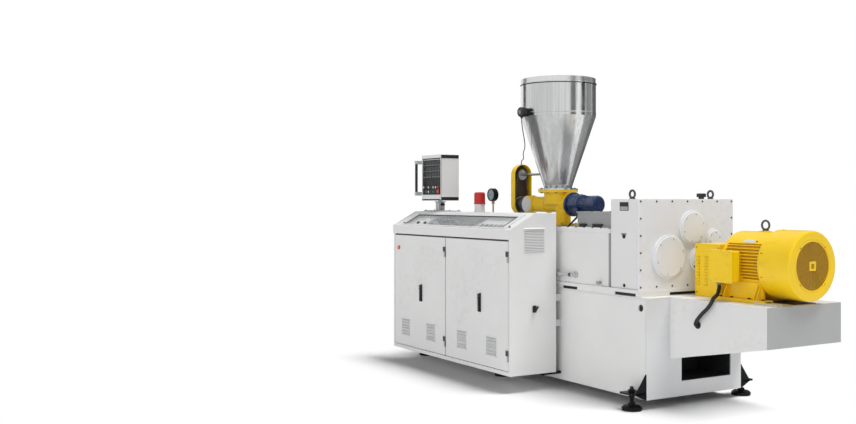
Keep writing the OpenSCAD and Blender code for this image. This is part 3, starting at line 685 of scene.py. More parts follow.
@dataclass(frozen=True)
class Paint(Finish):
    """Sprayed machine paint: faint orange peel, uneven tone, dust and chipped edges."""

    under: Triple = (0.42, 0.42, 0.41)
    chipped: float = 0.2
    dusty: float = 0.3
    peel: float = 0.1
    coat: float = 0.08
    shine: float = 0.5

    def make(self, shader: Shader) -> None:
        """Builds the paint's nodes.

        Args:
            shader: the tree to fill.
        """
        broad = shader.ramp(shader.noise(1.3, 2.0), 0.3, 0.7)
        tone = shader.blend(broad, tint(self.colour, 0.975), tint(self.colour, 1.02))
        dust = shader.ramp(shader.noise(4.0, 4.0, 0.6), 0.4, 0.9, 0.0, self.dusty)
        toned = shader.blend(dust, tone, tint(self.colour, 0.86))
        shader.colour(shader.blend(shader.wear(self.chipped), toned, self.under))
        shader.roughness(shader.ramp(shader.noise(14.0, 4.0, 0.6), 0.3, 0.75, self.rough - 0.06, self.rough + 0.09))
        shader.bump(shader.noise(620.0, 2.0), self.peel, 0.0004)
        shader.bump(shader.noise(2.6, 2.0), 0.12, 0.004)
        shader.fix(Coat_Weight=self.coat, Coat_Roughness=0.18, Specular_IOR_Level=self.shine)


@dataclass(frozen=True)
class Metal(Finish):
    """Bare metal with turning or rolling marks along one direction."""

    grain: Triple = (40.0, 40.0, 40.0)
    marks: float = 0.25
    stained: float = 0.25
    coarse: float = 12.0

    def make(self, shader: Shader) -> None:
        """Builds the metal's nodes.

        Args:
            shader: the tree to fill.
        """
        lines = shader.noise(self.coarse, 4.0, 0.7, shader.stretched(self.grain))
        cloud = shader.ramp(shader.noise(5.0, 4.0, 0.6), 0.35, 0.75, 0.0, self.stained)
        tone = shader.blend(shader.ramp(lines, 0.3, 0.7), tint(self.colour, 0.86), tint(self.colour, 1.08))
        shader.colour(shader.blend(cloud, tone, tint(self.colour, 0.55)))
        shader.roughness(shader.ramp(lines, 0.3, 0.7, self.rough - 0.06, self.rough + 0.08))
        shader.bump(lines, self.marks, 0.0004)
        shader.fix(Metallic=1.0)


@dataclass(frozen=True)
class Polished(Finish):
    """Polished stainless sheet: upright bands of painted reflection, fine brush lines and faint dents."""

    metal: float = 1.0

    def make(self, shader: Shader) -> None:
        """Builds the sheet's nodes.

        Args:
            shader: the tree to fill.
        """
        # Upright light and dark bands in the base colour: a painted reflection of the surroundings.
        bands = shader.noise(5.0, 2.0, 0.5, shader.stretched((1.0, 1.0, 0.04)))
        lines = shader.noise(60.0, 3.0, 0.7, shader.stretched((1.0, 1.0, 0.03)))
        smear = shader.noise(3.5, 4.0, 0.6)
        tone = shader.blend(shader.ramp(bands, 0.36, 0.64), tint(self.colour, 0.66), tint(self.colour, 1.0))
        lined = shader.blend(shader.ramp(lines, 0.42, 0.62, 0.0, 0.35), tone, tint(self.colour, 0.5))
        shader.colour(lined)
        shader.roughness(shader.ramp(smear, 0.3, 0.7, self.rough - 0.05, self.rough + 0.08))
        shader.bump(lines, 0.06, 0.0003)
        shader.bump(shader.noise(4.0, 2.0, 0.5, shader.stretched((1.0, 1.0, 0.25))), 0.3, 0.0022)
        shader.fix(Metallic=self.metal)


@dataclass(frozen=True)
class Plastic(Finish):
    """Moulded plastic or rubber with a fine grain, scuffs and dust."""

    grain: float = 0.25
    dust: float = 0.18

    def make(self, shader: Shader) -> None:
        """Builds the plastic's nodes.

        Args:
            shader: the tree to fill.
        """
        scuff = shader.ramp(shader.noise(18.0, 5.0, 0.7), 0.52, 0.72, 0.0, self.dust)
        toned = shader.blend(scuff, self.colour, tuple(0.6 * c + 0.08 for c in self.colour))
        shader.colour(shader.blend(shader.wear(0.4), toned, tuple(0.5 * c + 0.16 for c in self.colour)))
        shader.roughness(shader.ramp(shader.noise(40.0, 3.0), 0.3, 0.7, self.rough - 0.08, self.rough + 0.12))
        shader.bump(shader.noise(900.0, 2.0), self.grain, 0.0003)


@dataclass(frozen=True)
class Lens(Finish):
    """Clear or tinted plastic or glass that lets light through."""

    through: float = 0.7

    def make(self, shader: Shader) -> None:
        """Builds the lens's nodes.

        Args:
            shader: the tree to fill.
        """
        film = shader.ramp(shader.noise(7.0, 4.0, 0.6), 0.4, 0.8, 0.0, 0.25)
        shader.colour(shader.blend(film, self.colour, tuple(0.85 * c + 0.08 for c in self.colour)))
        shader.roughness(shader.ramp(shader.noise(16.0, 3.0), 0.3, 0.7, self.rough - 0.03, self.rough + 0.06))
        shader.bump(shader.noise(90.0, 2.0), 0.04, 0.0004)
        shader.fix(Transmission_Weight=self.through, IOR=1.45)


@dataclass(frozen=True)
class Pane(Finish):
    """Flat window glass, thin enough to let the light straight through, with a film of dust."""

    clear: float = 0.82

    def make(self, shader: Shader) -> None:
        """Builds the pane's nodes.

        Args:
            shader: the tree to fill.
        """
        film = shader.ramp(shader.noise(6.0, 4.0, 0.6), 0.35, 0.8, 0.0, 0.3)
        shader.colour(shader.blend(film, self.colour, tint(self.colour, 0.9)))
        shader.roughness(shader.ramp(shader.noise(12.0, 3.0), 0.3, 0.7, self.rough, self.rough + 0.08))
        shader.link(shader.ramp(shader.noise(6.0, 4.0, 0.6), 0.35, 0.8, 1.0 - self.clear, 1.1 - self.clear),
                    shader.main.inputs["Alpha"])


WHITE = Paint("off_white_paint", (0.79, 0.79, 0.785), 0.42)
# Darker copy of the off-white paint for the end plates, barrel stand, vent frames, door slats, desk window frame and
# cabinet bars: painted shade where less light falls.
SHADED_OFF_WHITE = Paint("painted_shade_white_paint", (0.7, 0.705, 0.715), 0.45)
# Brighter, cooler copy of the off-white paint for the gearbox's end plate and round covers: painted light, lifting them
# where the motor keeps light off.
LIT_COVER_WHITE = Paint("painted_light_cover_paint", (0.82, 0.84, 0.88), 0.45)
PALE_GREY = Paint("pale_grey_paint", (0.52, 0.525, 0.53), 0.46)
# Darker grey for the motor beam's end face: painted shade, as that face gets less light.
BEAM_END_SHADE_GREY = Paint("painted_shade_end_paint", (0.43, 0.435, 0.44), 0.46)
# Mid-dark grey standing for shade: the set-back cover on the distribution box and the backing of the side vent are
# painted shade.
PAINTED_SHADE_GREY = Paint("painted_shade_grey_paint", (0.34, 0.345, 0.35), 0.5)
# Near-black paint put where there is only shade: behind the end opening, between the gearbox pads, under the set-back
# cover, at the motor rail's end and under the cabinet's lip. Painted shade.
SHADE_BLACK = Paint("painted_shade_black_paint", (0.012, 0.012, 0.013), 0.6, under=(0.05, 0.05, 0.05))
# Dark brown for the inside of the open belt guard: painted shade.
GUARD_SHADE_BROWN = Paint("painted_shade_guard_paint", (0.05, 0.028, 0.012), 0.6, under=(0.14, 0.08, 0.03))
YELLOW = Paint("warm_yellow_paint", (0.97, 0.64, 0.004), 0.38, under=(0.5, 0.28, 0.02), coat=0.1)
# Dark olive yellow behind the fan inlet's mesh and in its hub: painted shade.
DEEP_SHADE_YELLOW = Paint("painted_deep_shade_paint", (0.4, 0.235, 0.012), 0.55, under=(0.2, 0.12, 0.02))
# Darker yellow standing for shade: the gaps between the motor's fins, the fan cover's seam and the wire mesh are
# painted shade.
PAINTED_SHADE_YELLOW = Paint("painted_shade_yellow_paint", (0.55, 0.3, 0.012), 0.5, under=(0.2, 0.12, 0.02))
NAVY = Paint("navy_paint", (0.006, 0.028, 0.1), 0.28, under=(0.02, 0.04, 0.09), chipped=0.06, dusty=0.1, coat=0.35)
BLACK_PAINT = Paint(
    "black_paint", (0.004, 0.004, 0.0045), 0.36, under=(0.03, 0.03, 0.03), dusty=0.06, coat=0.02, shine=0.12 )
STAINLESS = Polished("polished_stainless", (0.8, 0.805, 0.81), 0.14)
CONE_STEEL = Polished("satin_cone_steel", (0.8, 0.805, 0.81), 0.17, 0.84)
LID_STEEL = Metal("brushed_lid_steel", (0.7, 0.71, 0.72), 0.26, grain=(1.0, 30.0, 1.0), marks=0.12, stained=0.1)
STEEL = Metal("machined_steel", (0.5, 0.5, 0.51), 0.3, grain=(60.0, 2.0, 2.0), marks=0.3)
ZINC = Metal("zinc_plated_steel", (0.46, 0.46, 0.46), 0.36, grain=(30.0, 30.0, 30.0), stained=0.3)
FORGED = Metal("forged_eye_steel", (0.12, 0.12, 0.125), 0.42, grain=(30.0, 30.0, 30.0), stained=0.3)
DARK_BOLT = Metal("oiled_bolt_steel", (0.06, 0.06, 0.062), 0.45, grain=(30.0, 30.0, 30.0), stained=0.3)
CAST_ALU = Metal("cast_aluminium", (0.6, 0.61, 0.62), 0.5, grain=(1.0, 1.0, 1.0), marks=0.6, coarse=160.0)
GALVANISED = Metal("galvanised_sheet", (0.62, 0.64, 0.66), 0.42, grain=(1.0, 1.0, 1.0), marks=0.1, coarse=45.0)
BRASS = Metal("dull_brass", (0.3, 0.22, 0.13), 0.36, grain=(20.0, 20.0, 20.0), stained=0.3)
RUBBER = Plastic("black_rubber", (0.008, 0.008, 0.0085), 0.55, dust=0.08)
BELT = Plastic("worn_belt", (0.13, 0.1, 0.08), 0.7)
BLACK_PLASTIC = Plastic("black_plastic", (0.009, 0.009, 0.01), 0.42, grain=0.15, dust=0.1)
GREY_PLASTIC = Plastic("grey_plastic", (0.22, 0.225, 0.23), 0.45)
PALE_PLASTIC = Plastic("pale_plastic", (0.7, 0.71, 0.7), 0.42)
GREEN_BUTTON = Plastic("green_button", (0.02, 0.28, 0.13), 0.3, grain=0.05)
RED_BUTTON = Plastic("red_button", (0.75, 0.04, 0.02), 0.28, grain=0.05)
METER_FACE = Plastic("meter_face", (0.02, 0.026, 0.025), 0.22, grain=0.02, dust=0.1)
METER_RIM = Plastic("meter_rim", (0.05, 0.055, 0.055), 0.35, grain=0.1)
WHITE_LAMP = Plastic("white_lamp", (0.8, 0.82, 0.82), 0.2, grain=0.02, dust=0.02)
RED_LENS = Lens("red_lens", (0.6, 0.006, 0.01), 0.16, through=0.1)
CLEAR = Lens("clear_pane", (0.93, 0.95, 0.95), 0.05, through=0.96)
DIAL = Plastic("dial_face", (0.2, 0.27, 0.31), 0.25, grain=0.02, dust=0.05)
PANE = Pane("window_pane", (0.8, 0.83, 0.84), 0.06)


@dataclass
class BaseFrame:
    """The welded base frame with its deck, and the tapered beam that carries the motor."""

    length: float = 2950.0
    half_w: float = FRAME_SIDE
    top: float = DECK
    clear: float = 67.0
    plate: float = 12.0
    beam_len: float = 834.0
    beam_near: float = 237.0
    beam_root: float = 336.0
    beam_tip: float = 502.0
    blank_y: float = 230.0
    blank_z: Pair = (240.0, 610.0)
    opening: tuple[float, float, float] = (-131.0, 353.0, 171.0)
    hole: tuple[float, float, float] = (-58.0, 689.0, 24.0)

    def make(self) -> None:
        """Builds the plates, the beam, the weld beads and the black box of painted shade behind the end opening."""
        self.side_plates()
        self.end_plates()
        self.deck()
        self.beam()
        self.opening_shade()
        self.welds()

    def side_plates(self) -> None:
        """Two side plates, each with its round lifting hole."""
        for name, y in (("base_near_side", -self.half_w), ("base_far_side", self.half_w - self.plate)):
            x, z, r = self.hole
            outline = rect(self.plate - self.length, -self.plate, self.clear, self.top - self.plate, 1.5)
            side = Piece(f"{name}_plate", WHITE)
            side.prism(Y, y, y + self.plate, outline, [disc(x, z, r, 40)], 1.2)
            side.build(name)

    def end_plates(self) -> None:
        """The drive end's plate with its openings, and the tail plate with a bolted blank cover."""
        y0, y1, z0 = self.opening
        outline = rect(-self.half_w, self.half_w, self.clear, self.top - self.plate, 2)
        # The drive end plate takes the darker copy of the white: painted shade.
        end = Piece("drive_end_plate", SHADED_OFF_WHITE)
        end.prism(X, -self.plate, 0, outline, [rect(y0, y1, z0, self.beam_root, 2),
                                               rect(y0, y1, self.beam_root + 40, self.top - 60, 2)], 1.5)
        end.build("base_end_plate")
        tail = Piece("tail_end_plate", SHADED_OFF_WHITE)
        tail.prism(X, -self.length, self.plate - self.length, outline, bevel=2)
        half, (low, high) = self.blank_y, self.blank_z
        tail.bar(-self.length - 3, -self.length, -half, half, low, high, 1)
        tail.dress(ZINC)
        for y in (20 - half, 0, half - 20):
            for z in (low + 20, high - 20):
                tail.screw(X, (-self.length - 3, y, z), 8, -1)
        tail.build("base_tail_plate")

    def deck(self) -> None:
        """The deck plate with its rolled edge."""
        deck = Piece("deck_plate", WHITE)
        outline = rect(-self.length, 0, -self.half_w, self.half_w, 5)
        deck.prism(Z, self.top - self.plate, self.top, outline, bevel=4)
        deck.build("base_deck")

    def beam(self) -> None:
        """The tapered beam with its end plate."""
        end = self.beam_len - 7
        outline = rounded([(0, self.top), (0, self.beam_root), (end, self.beam_tip - 1), (end, self.top)], 3)
        beam = Piece("tapered_motor_beam", WHITE)
        beam.prism(Y, -self.beam_near, self.half_w, outline, bevel=3)
        # The beam's end plate is dressed darker grey: painted shade on the end face.
        beam.dress(BEAM_END_SHADE_GREY)
        beam.prism(X, end, self.beam_len, rect(-self.beam_near, self.half_w, self.beam_tip, self.top, 4), bevel=3)
        beam.build("motor_beam")

    def opening_shade(self) -> None:
        """The black box behind the end opening: painted shade inside the frame."""
        y0, y1, z0 = self.opening
        z1 = self.beam_root
        box = Piece("end_opening_shade_box", SHADE_BLACK)
        box.bar(-330, -326, y0 - 6, y1 + 6, z0 - 6, z1 + 6, 0.5)
        box.bar(-326, -self.plate, y0 - 6, y0 - 2, z0 - 6, z1 + 6, 0.5)
        box.bar(-326, -self.plate, y1 + 2, y1 + 6, z0 - 6, z1 + 6, 0.5)
        box.bar(-326, -self.plate, y0 - 2, y1 + 2, z0 - 6, z0 - 2, 0.5)
        box.bar(-326, -self.plate, y0 - 2, y1 + 2, z1 + 2, z1 + 6, 0.5)
        box.build(slot="base_end_plate")

    def welds(self) -> None:
        """Weld beads where the beam meets the end plate, ground nearly flush."""
        beads = Piece("beam_weld_beads", WHITE)
        beads.tube([(1, -self.beam_near - 1 + DICE.uniform(-0.4, 0.4), self.beam_root + 4 + k * 12.5)
                    for k in range(34)], 3.2, 8)
        beads.tube([(1, -self.beam_near + 4 + k * 14, self.beam_root - 1 + DICE.uniform(-0.4, 0.4))
                    for k in range(48)], 3.2, 8)
        beads.build(slot="motor_beam")


@dataclass
class LevellingFeet:
    """Six screw feet, each under a gusseted bracket on the frame's side."""

    foot_x: tuple[float, ...] = (-66.0, -1598.0, -2826.0)
    foot_y: float = 528.0
    pad_r: float = 70.0
    plate_z: float = 109.0
    plate_t: float = 12.0
    screw_r: float = 14.0
    half_w: float = FRAME_SIDE
    gusset: Pair = (58.0, 90.0)
    covered: Pair = (-2709.0, -912.0)

    def make(self) -> None:
        """Builds the brackets and the feet under them."""
        brackets = Piece("gusseted_foot_brackets", BLACK_PAINT)
        feet = Piece("levelling_screws_and_pads")
        for x in self.foot_x:
            for side in (-1, 1):
                self.bracket(brackets, x, side)
                self.foot(feet, x, side * self.foot_y, side < 0 and self.covered[0] < x < self.covered[1])
        brackets.build("foot_brackets")
        feet.build("levelling_feet")

    def bracket(self, piece: Piece, x: float, side: int) -> None:
        """A plate with a hole for the screw, and the gusset beside it.

        Args:
            piece: what it is added to.
            x: the foot's place along the frame.
            side: -1 near, 1 far.
        """
        y0, y1 = sorted((side * self.half_w, side * (self.foot_y + 55)))
        plate = rounded([(x - 66, y0), (x + 66, y0), (x + 66, y1), (x - 66, y1)], 9, 3)
        hole = disc(x, side * self.foot_y, self.screw_r + 1, 24)
        piece.prism(Z, self.plate_z, self.plate_z + self.plate_t, plate, [hole], 1.5)
        s, h = side, self.half_w
        g = self.gusset[0 if self.covered[0] < x < self.covered[1] else 1]
        corners = [(s * h, 245), (s * (h + g), self.plate_z + self.plate_t), (s * (h + g), self.plate_z),
                   (s * (h + 34), 80), (s * h, 67)]
        piece.prism(X, x + 54, x + 66, rounded(corners, 3), bevel=1.5)

    def foot(self, piece: Piece, x: float, y: float, covered: bool) -> None:
        """A pad on a rubber ring, its swivel collar, the threaded screw and two nuts.

        Args:
            piece: what it is added to.
            x: the foot's place along the frame.
            y: its place across it.
            covered: True under the cabinet, where the screw ends low.
        """
        top = self.plate_z + self.plate_t
        r = self.pad_r - 0.4
        piece.dress(RUBBER).lathe(Z, (x, y, 0), contour([(0, 0), (r - 2, 0), (r - 2, 7), (0, 7)], 2))
        pad = contour([(0, 7), (r, 7), (r, 20), (r - 14, 32), (30, 32), (26, 40), (24, 52), (0, 52)], 3)
        piece.dress(BLACK_PAINT).lathe(Z, (x, y, 0), pad, 56)
        end = top + (6 if covered else 40)
        thread = [(0.0, 50.0)]
        z = 50.0
        while z < end - 4:
            thread += [(self.screw_r - 1.2, z), (self.screw_r, z + 1.2, 1), (self.screw_r - 1.2, z + 2.4)]
            z += 3.0
        thread += [(self.screw_r - 2, end), (0, end)]
        piece.dress(DARK_BOLT).lathe(Z, (x, y, 0), thread, 24)
        for z0, high in ((self.plate_z - 22, 22), (top, 6 if covered else 22)):
            nut = [(0, 0), (20, 0), (24, 3, 1), (24, high - 3 if high > 8 else high - 2, 1), (20, high), (0, high)]
            piece.dress(BLACK_PAINT).lathe(Z, (x, y, z0), nut, 6, DICE.uniform(0, 60))


@dataclass
class Gearbox:
    """Reduction gearbox with its bolted end plate, and the distribution box behind it."""

    face: float = -75.0
    plate_t: float = 14.0
    back: float = -362.0
    dist_back: float = -1000.0
    half: float = 456.0
    z0: float = 810.0
    top: float = 1434.0
    dist_top: float = 1223.0
    joint: float = 26.0
    deck: float = DECK
    pad_y: Pair = (179.0, FRAME_SIDE)
    plug: Pair = (-225.0, 1173.0)
    rating_x: Pair = (-268.0, -178.0)
    rating_z: Pair = (1352.0, 1412.0)
    joint_bolts: tuple[float, ...] = (848.0, 880.0, 962.0, 1048.0, 1130.0)
    shade_slots: tuple[Pair, ...] = ((-877.0, -806.0), (-725.0, -623.0))
    pipe_x: Pair = (-972.0, -749.0)
    foot_bolts: tuple[float, ...] = (-448.0, -868.0, -410.0, -830.0)
    eye_y: Pair = (-385.0, 376.0)
    breather_y: float = 283.0
    drain_x: float = -470.0
    level_y: float = 53.0
    level_z: Pair = (956.0, 1040.0)
    covers: tuple[tuple[float, float, float], ...] = (
        (-180.0, 1033.0, 152.0), (44.0, 1233.0, 122.0), (253.0, 1147.0, 75.0), (113.0, 1010.0, 92.0))

    def make(self) -> None:
        """Builds the boxes from the sole plate up and their fittings."""
        self.sole()
        self.housing()
        self.end_plate()
        self.end_covers()
        self.fittings()
        self.distribution()
        self.oil_pipe()
        self.small_parts()

    def sole(self) -> None:
        """The sole plate on its pads, with a black bar of painted shade between them."""
        x0, x1, y = self.dist_back - 12, self.face + 12, self.half + 10
        sole = Piece("gearbox_sole", WHITE)
        sole.prism(Z, self.deck + 22, self.z0, rect(x0, x1, -y, y, 4), bevel=3)
        for side in (-1, 1):
            for a, b in ((x0, x0 + 104), (self.back - 378, self.back + 40), (self.face - 34, x1)):
                sole.bar(a, b, side * self.pad_y[0], side * self.pad_y[1], self.deck, self.deck + 22, 1.5)
        # Black bar between the pads: painted shade under the sole plate.
        sole.dress(SHADE_BLACK).bar(x0 + 30, x1 - 30, -y + 16, y - 16, self.deck + 1, self.deck + 21, 1)
        sole.build("gearbox_sole_plate")

    def housing(self) -> None:
        """The cast housing with a plug and a low bolt on each side, and two blank plates for its ratings."""
        housing = Piece("gearbox_cast_housing", WHITE)
        housing.bar(self.back, self.face - self.plate_t, -self.half, self.half, self.z0, self.top, 4)
        housing.dress(DARK_BOLT)
        for side in (-1, 1):
            housing.hex_bolt(Y, (self.plug[0] + 3, side * self.half, self.z0 + 22), 9, side)
            housing.hex_bolt(Y, (self.plug[0], side * self.half, self.plug[1]), 11, side)
        housing.build("gearbox_housing")
        plates = Piece("blank_rating_plates", BLACK_PLASTIC)
        y, (x0, x1), (z0, z1) = -self.half, self.rating_x, self.rating_z
        plates.bar(x0, x1, y - 1.6, y, z0, z1, 0.6)
        plates.dress(ZINC).bar(x0 + 6, x1 - 6, y - 2.2, y - 1.5, z0 + 4, z1 - 30, 0.3)
        plates.dress(GREY_PLASTIC).bar(x0 + 18, x1 - 22, y - 1.4, y, self.plug[1] + 7, self.plug[1] + 23, 0.4)
        plates.build(slot="gearbox_housing")

    def end_plate(self) -> None:
        """The end plate with hexagon bolts all round."""
        # Dressed in the brighter copy of the white: painted light.
        plate = Piece("bolted_end_plate", LIT_COVER_WHITE)
        plate.prism(X, self.face - self.plate_t, self.face, rect(-self.half, self.half, self.z0, self.top, 4),
                    bevel=2.5)
        plate.dress(FORGED)
        edge = self.half - 17
        for k in range(6):
            z = self.z0 + 17 + k * (self.top - self.z0 - 34) / 5
            for side in (-1, 1):
                plate.hex_bolt(X, (self.face, side * edge, z), 5.5)
        for k in range(1, 6):
            for z in (self.z0 + 17, self.top - 17):
                plate.hex_bolt(X, (self.face, -edge + k * edge / 3, z), 5.5)
        plate.build("gearbox_end_plate")

    def end_covers(self) -> None:
        """Round covers with a stepped rim and painted bolts."""
        covers = Piece("round_bearing_covers")
        for y, z, r in self.covers:
            covers.dress(LIT_COVER_WHITE)
            profile = contour([(0, 0), (r, 0), (r, 14), (r - 12, 14), (r - 14, 20), (0, 20)], 2.5)
            covers.lathe(X, (self.face, y, z), profile, 72)
            covers.dress(PALE_GREY)
            for u, v in spread(6, r - 26, 18):
                covers.screw(X, (self.face + 20, y + u, z + v), 5.5)
        covers.build("gearbox_covers")

    def fittings(self) -> None:
        """Two forged lifting eyes and the black breather."""
        eye_x = (self.face + self.back) / 2
        eyes = Piece("lifting_eyes_and_breather")
        eyes.dress(FORGED)
        for y in self.eye_y:
            eyes.ring(Y, (eye_x, y, self.top + 34), 26, 8, 40, 12)
            collar = contour([(0, 0), (22, 0), (22, 5), (13, 8), (12, 18), (0, 18)], 1.5)
            eyes.lathe(Z, (eye_x, y, self.top), collar, 28)
        eyes.dress(BLACK_PLASTIC)
        y = self.breather_y
        cap = contour([(0, 0), (20, 0), (20, 14), (34, 14), (34, 38), (28, 42), (0, 42)], 2)
        eyes.lathe(Z, (eye_x, y, self.top), cap, 28)
        for u, v in spread(14, 32.5):
            eyes.rod(Z, self.top + 17, self.top + 36, eye_x + u, y + v, 1.5, 0.4, 6)
        eyes.build("gearbox_fittings")

    def distribution(self) -> None:
        """The distribution box with its flange plate, joint bolts and set-back cover."""
        back, dist_top = self.back, self.dist_top
        y = self.half
        box = Piece("distribution_housing", WHITE)
        box.bar(self.dist_back, back - self.joint, -y, y, self.z0, dist_top - 32, 3)
        box.dress(BLACK_PAINT).bar(back - self.joint, back, -y + 26, y - 26, self.z0, dist_top - 32, 1)
        box.dress(WHITE).bar(self.dist_back, back, -y - 6, y + 6, dist_top - 32, dist_top, 3)
        box.dress(DARK_BOLT)
        for side in (-1, 1):
            for z in self.joint_bolts:
                box.hex_bolt(Y, (back - self.joint / 2, side * (y - 26), z), 9, side)
            for k in range(7):
                box.screw(Z, (self.dist_back + 32 + k * 95, side * (y - 20), dist_top), 7)
        box.build("distribution_box")
        # The set-back cover is dressed mid-dark grey: painted shade.
        cover = Piece("set_back_cover", PAINTED_SHADE_GREY)
        x0, x1, half = self.dist_back + 80, back - 20, y - 150
        cover.bar(x0, x1, -half, half, dist_top, dist_top + 109, 3)
        cover.bar(x0 - 12, x1 + 10, -half - 14, half + 14, dist_top, dist_top + 9, 2)
        cover.bar(x0 - 6, x1 + 6, -half - 6, half + 6, dist_top + 105, dist_top + 117, 2.5)
        # Black slots at the foot of the cover's sides: painted shade.
        cover.dress(SHADE_BLACK)
        for a, b in self.shade_slots:
            cover.bar(a, b, -half - 18, -half, dist_top, dist_top + 26, 2)
        cover.dress(DARK_BOLT)
        for k in range(5):
            cover.hex_bolt(Z, (x0 + 40 + k * 105, -half + 24, dist_top + 117), 7)
            cover.hex_bolt(Z, (x0 + 40 + k * 105, half - 24, dist_top + 117), 7)
        cover.build("distribution_cover")

    def oil_pipe(self) -> None:
        """The oil pipe along the near side with its elbows and union nuts."""
        y, z = -self.half - 30, self.z0 + 62
        x0, x1 = self.pipe_x
        pipe = Piece("oil_pipe_with_unions", PALE_GREY)
        route = [(x0, -self.half, z), (x0, y + 12, z), (x0 + 4, y + 2, z), (x0 + 14, y, z), (x1 - 14, y, z),
                 (x1 - 4, y + 2, z), (x1, y + 12, z), (x1, -self.half, z)]
        pipe.tube(smooth_path(route, 4), 12, 20)
        for x in (x0, x1):
            pipe.rod(Y, -self.half - 9, -self.half, x, z, 25, 2)
        nut = [(0, 0), (13, 0), (15, 2, 1), (15, 24, 1), (13, 26), (0, 26)]
        for x, finish in ((x0 + 34, ZINC), (x1 - 34, FORGED)):
            pipe.dress(finish).lathe(X, (x - 13, y, z), nut, 6, 12)
        pipe.build("lubrication_pipe")

    def small_parts(self) -> None:
        """Foot bolts and the drain plug on the near side, and the thin level glass on the end."""
        z0, face = self.z0, self.face
        small = Piece("drain_and_level_glass", ZINC)
        y = -self.half
        for x in self.foot_bolts:
            small.hex_bolt(Z, (x, y + 4, z0), 8)
        small.rod(Y, y - 22, y, self.drain_x, z0 + 24, 11, 2, 20)
        small.lathe(Y, (self.drain_x, y - 22, z0 + 24), [(0, 0), (14, 0), (15, -2, 1), (15, -12, 1), (0, -14)], 6)
        small.dress(BLACK_PLASTIC)
        for z in self.level_z:
            small.rod(Z, z - 6, z + 6, face + 12, self.level_y, 7, 1.5, 16)
            small.rod(X, face, face + 12, self.level_y, z, 5, 1, 12)
        low, high = self.level_z
        small.dress(CLEAR).rod(Z, low + 4, high - 4, face + 12, self.level_y, 4, 1, 16)
        small.build(slot="gearbox_housing")


@dataclass
class Coupling:
    """The shaft between gearbox and motor under its louvred guard."""

    x0: float = 13.0
    x1: float = 240.0
    y: float = MOTOR_Y
    half: float = 128.0
    deck: float = DECK
    top: float = 1125.0
    shaft_z: float = MOTOR_Z

    def make(self) -> None:
        """Builds the shaft with its two hubs, and the guard."""
        shaft = Piece("shaft_and_coupling_hubs", STEEL)
        shaft.rod(X, -55, 316, self.y, self.shaft_z, 32, 2)
        for x in (70, 134):
            hub = contour([(0, 0), (88, 0), (88, 58), (0, 58)], 4)
            shaft.lathe(X, (x, self.y, self.shaft_z), hub, 48)
        shaft.dress(RUBBER).rod(X, 128, 134, self.y, self.shaft_z, 80, 1)
        shaft.dress(DARK_BOLT)
        for u, v in spread(6, 66):
            shaft.hex_bolt(X, (70, self.y + u, self.shaft_z + v), 8, -1)
        shaft.build("coupling_shaft")
        self.guard()

    def guard(self) -> None:
        """The bent sheet guard: two slotted sides, ends and top."""
        deck, x0, x1, top = self.deck, self.x0, self.x1, self.top
        t = 4
        y0, y1 = self.y - self.half, self.y + self.half
        guard = Piece("louvred_coupling_guard", YELLOW)
        slots = [rect(x, x + 30, deck + 76 + k * 21, deck + 85 + k * 21, 3) for x in (26, 96) for k in range(10)]
        outline = rect(x0, x1, deck, top, 5)
        for y in (y0, y1 - t):
            guard.prism(Y, y, y + t, outline, slots, 1)
        hole = disc(self.y, self.shaft_z, 44, 32)
        for x in (x0, x1 - t):
            guard.prism(X, x, x + t, rect(y0 + t, y1 - t, deck, top - t, 1), [hole], 1)
        guard.prism(Z, top - t, top, rect(x0 + 1, x1 - 1, y0 + 1, y1 - 1, 4), bevel=1.5)
        for side, y in ((-1, y0), (1, y1)):
            for x in (26, 96):
                for k in range(10):
                    z = deck + 85 + k * 21
                    lip = [(y, z + 2), (y + side * 6, z - 6), (y + side * 5, z - 8), (y, z)]
                    guard.prism(X, x + 1, x + 29, rounded(lip, 0.6), bevel=0.5)
        guard.dress(DARK_BOLT)
        for side, y in ((-1, y0), (1, y1)):
            for x in (x0 + 14, x1 - 14):
                for z in (deck + 26, top - 26):
                    guard.screw(Y, (x, y, z), 4, side)
        guard.build("coupling_guard")


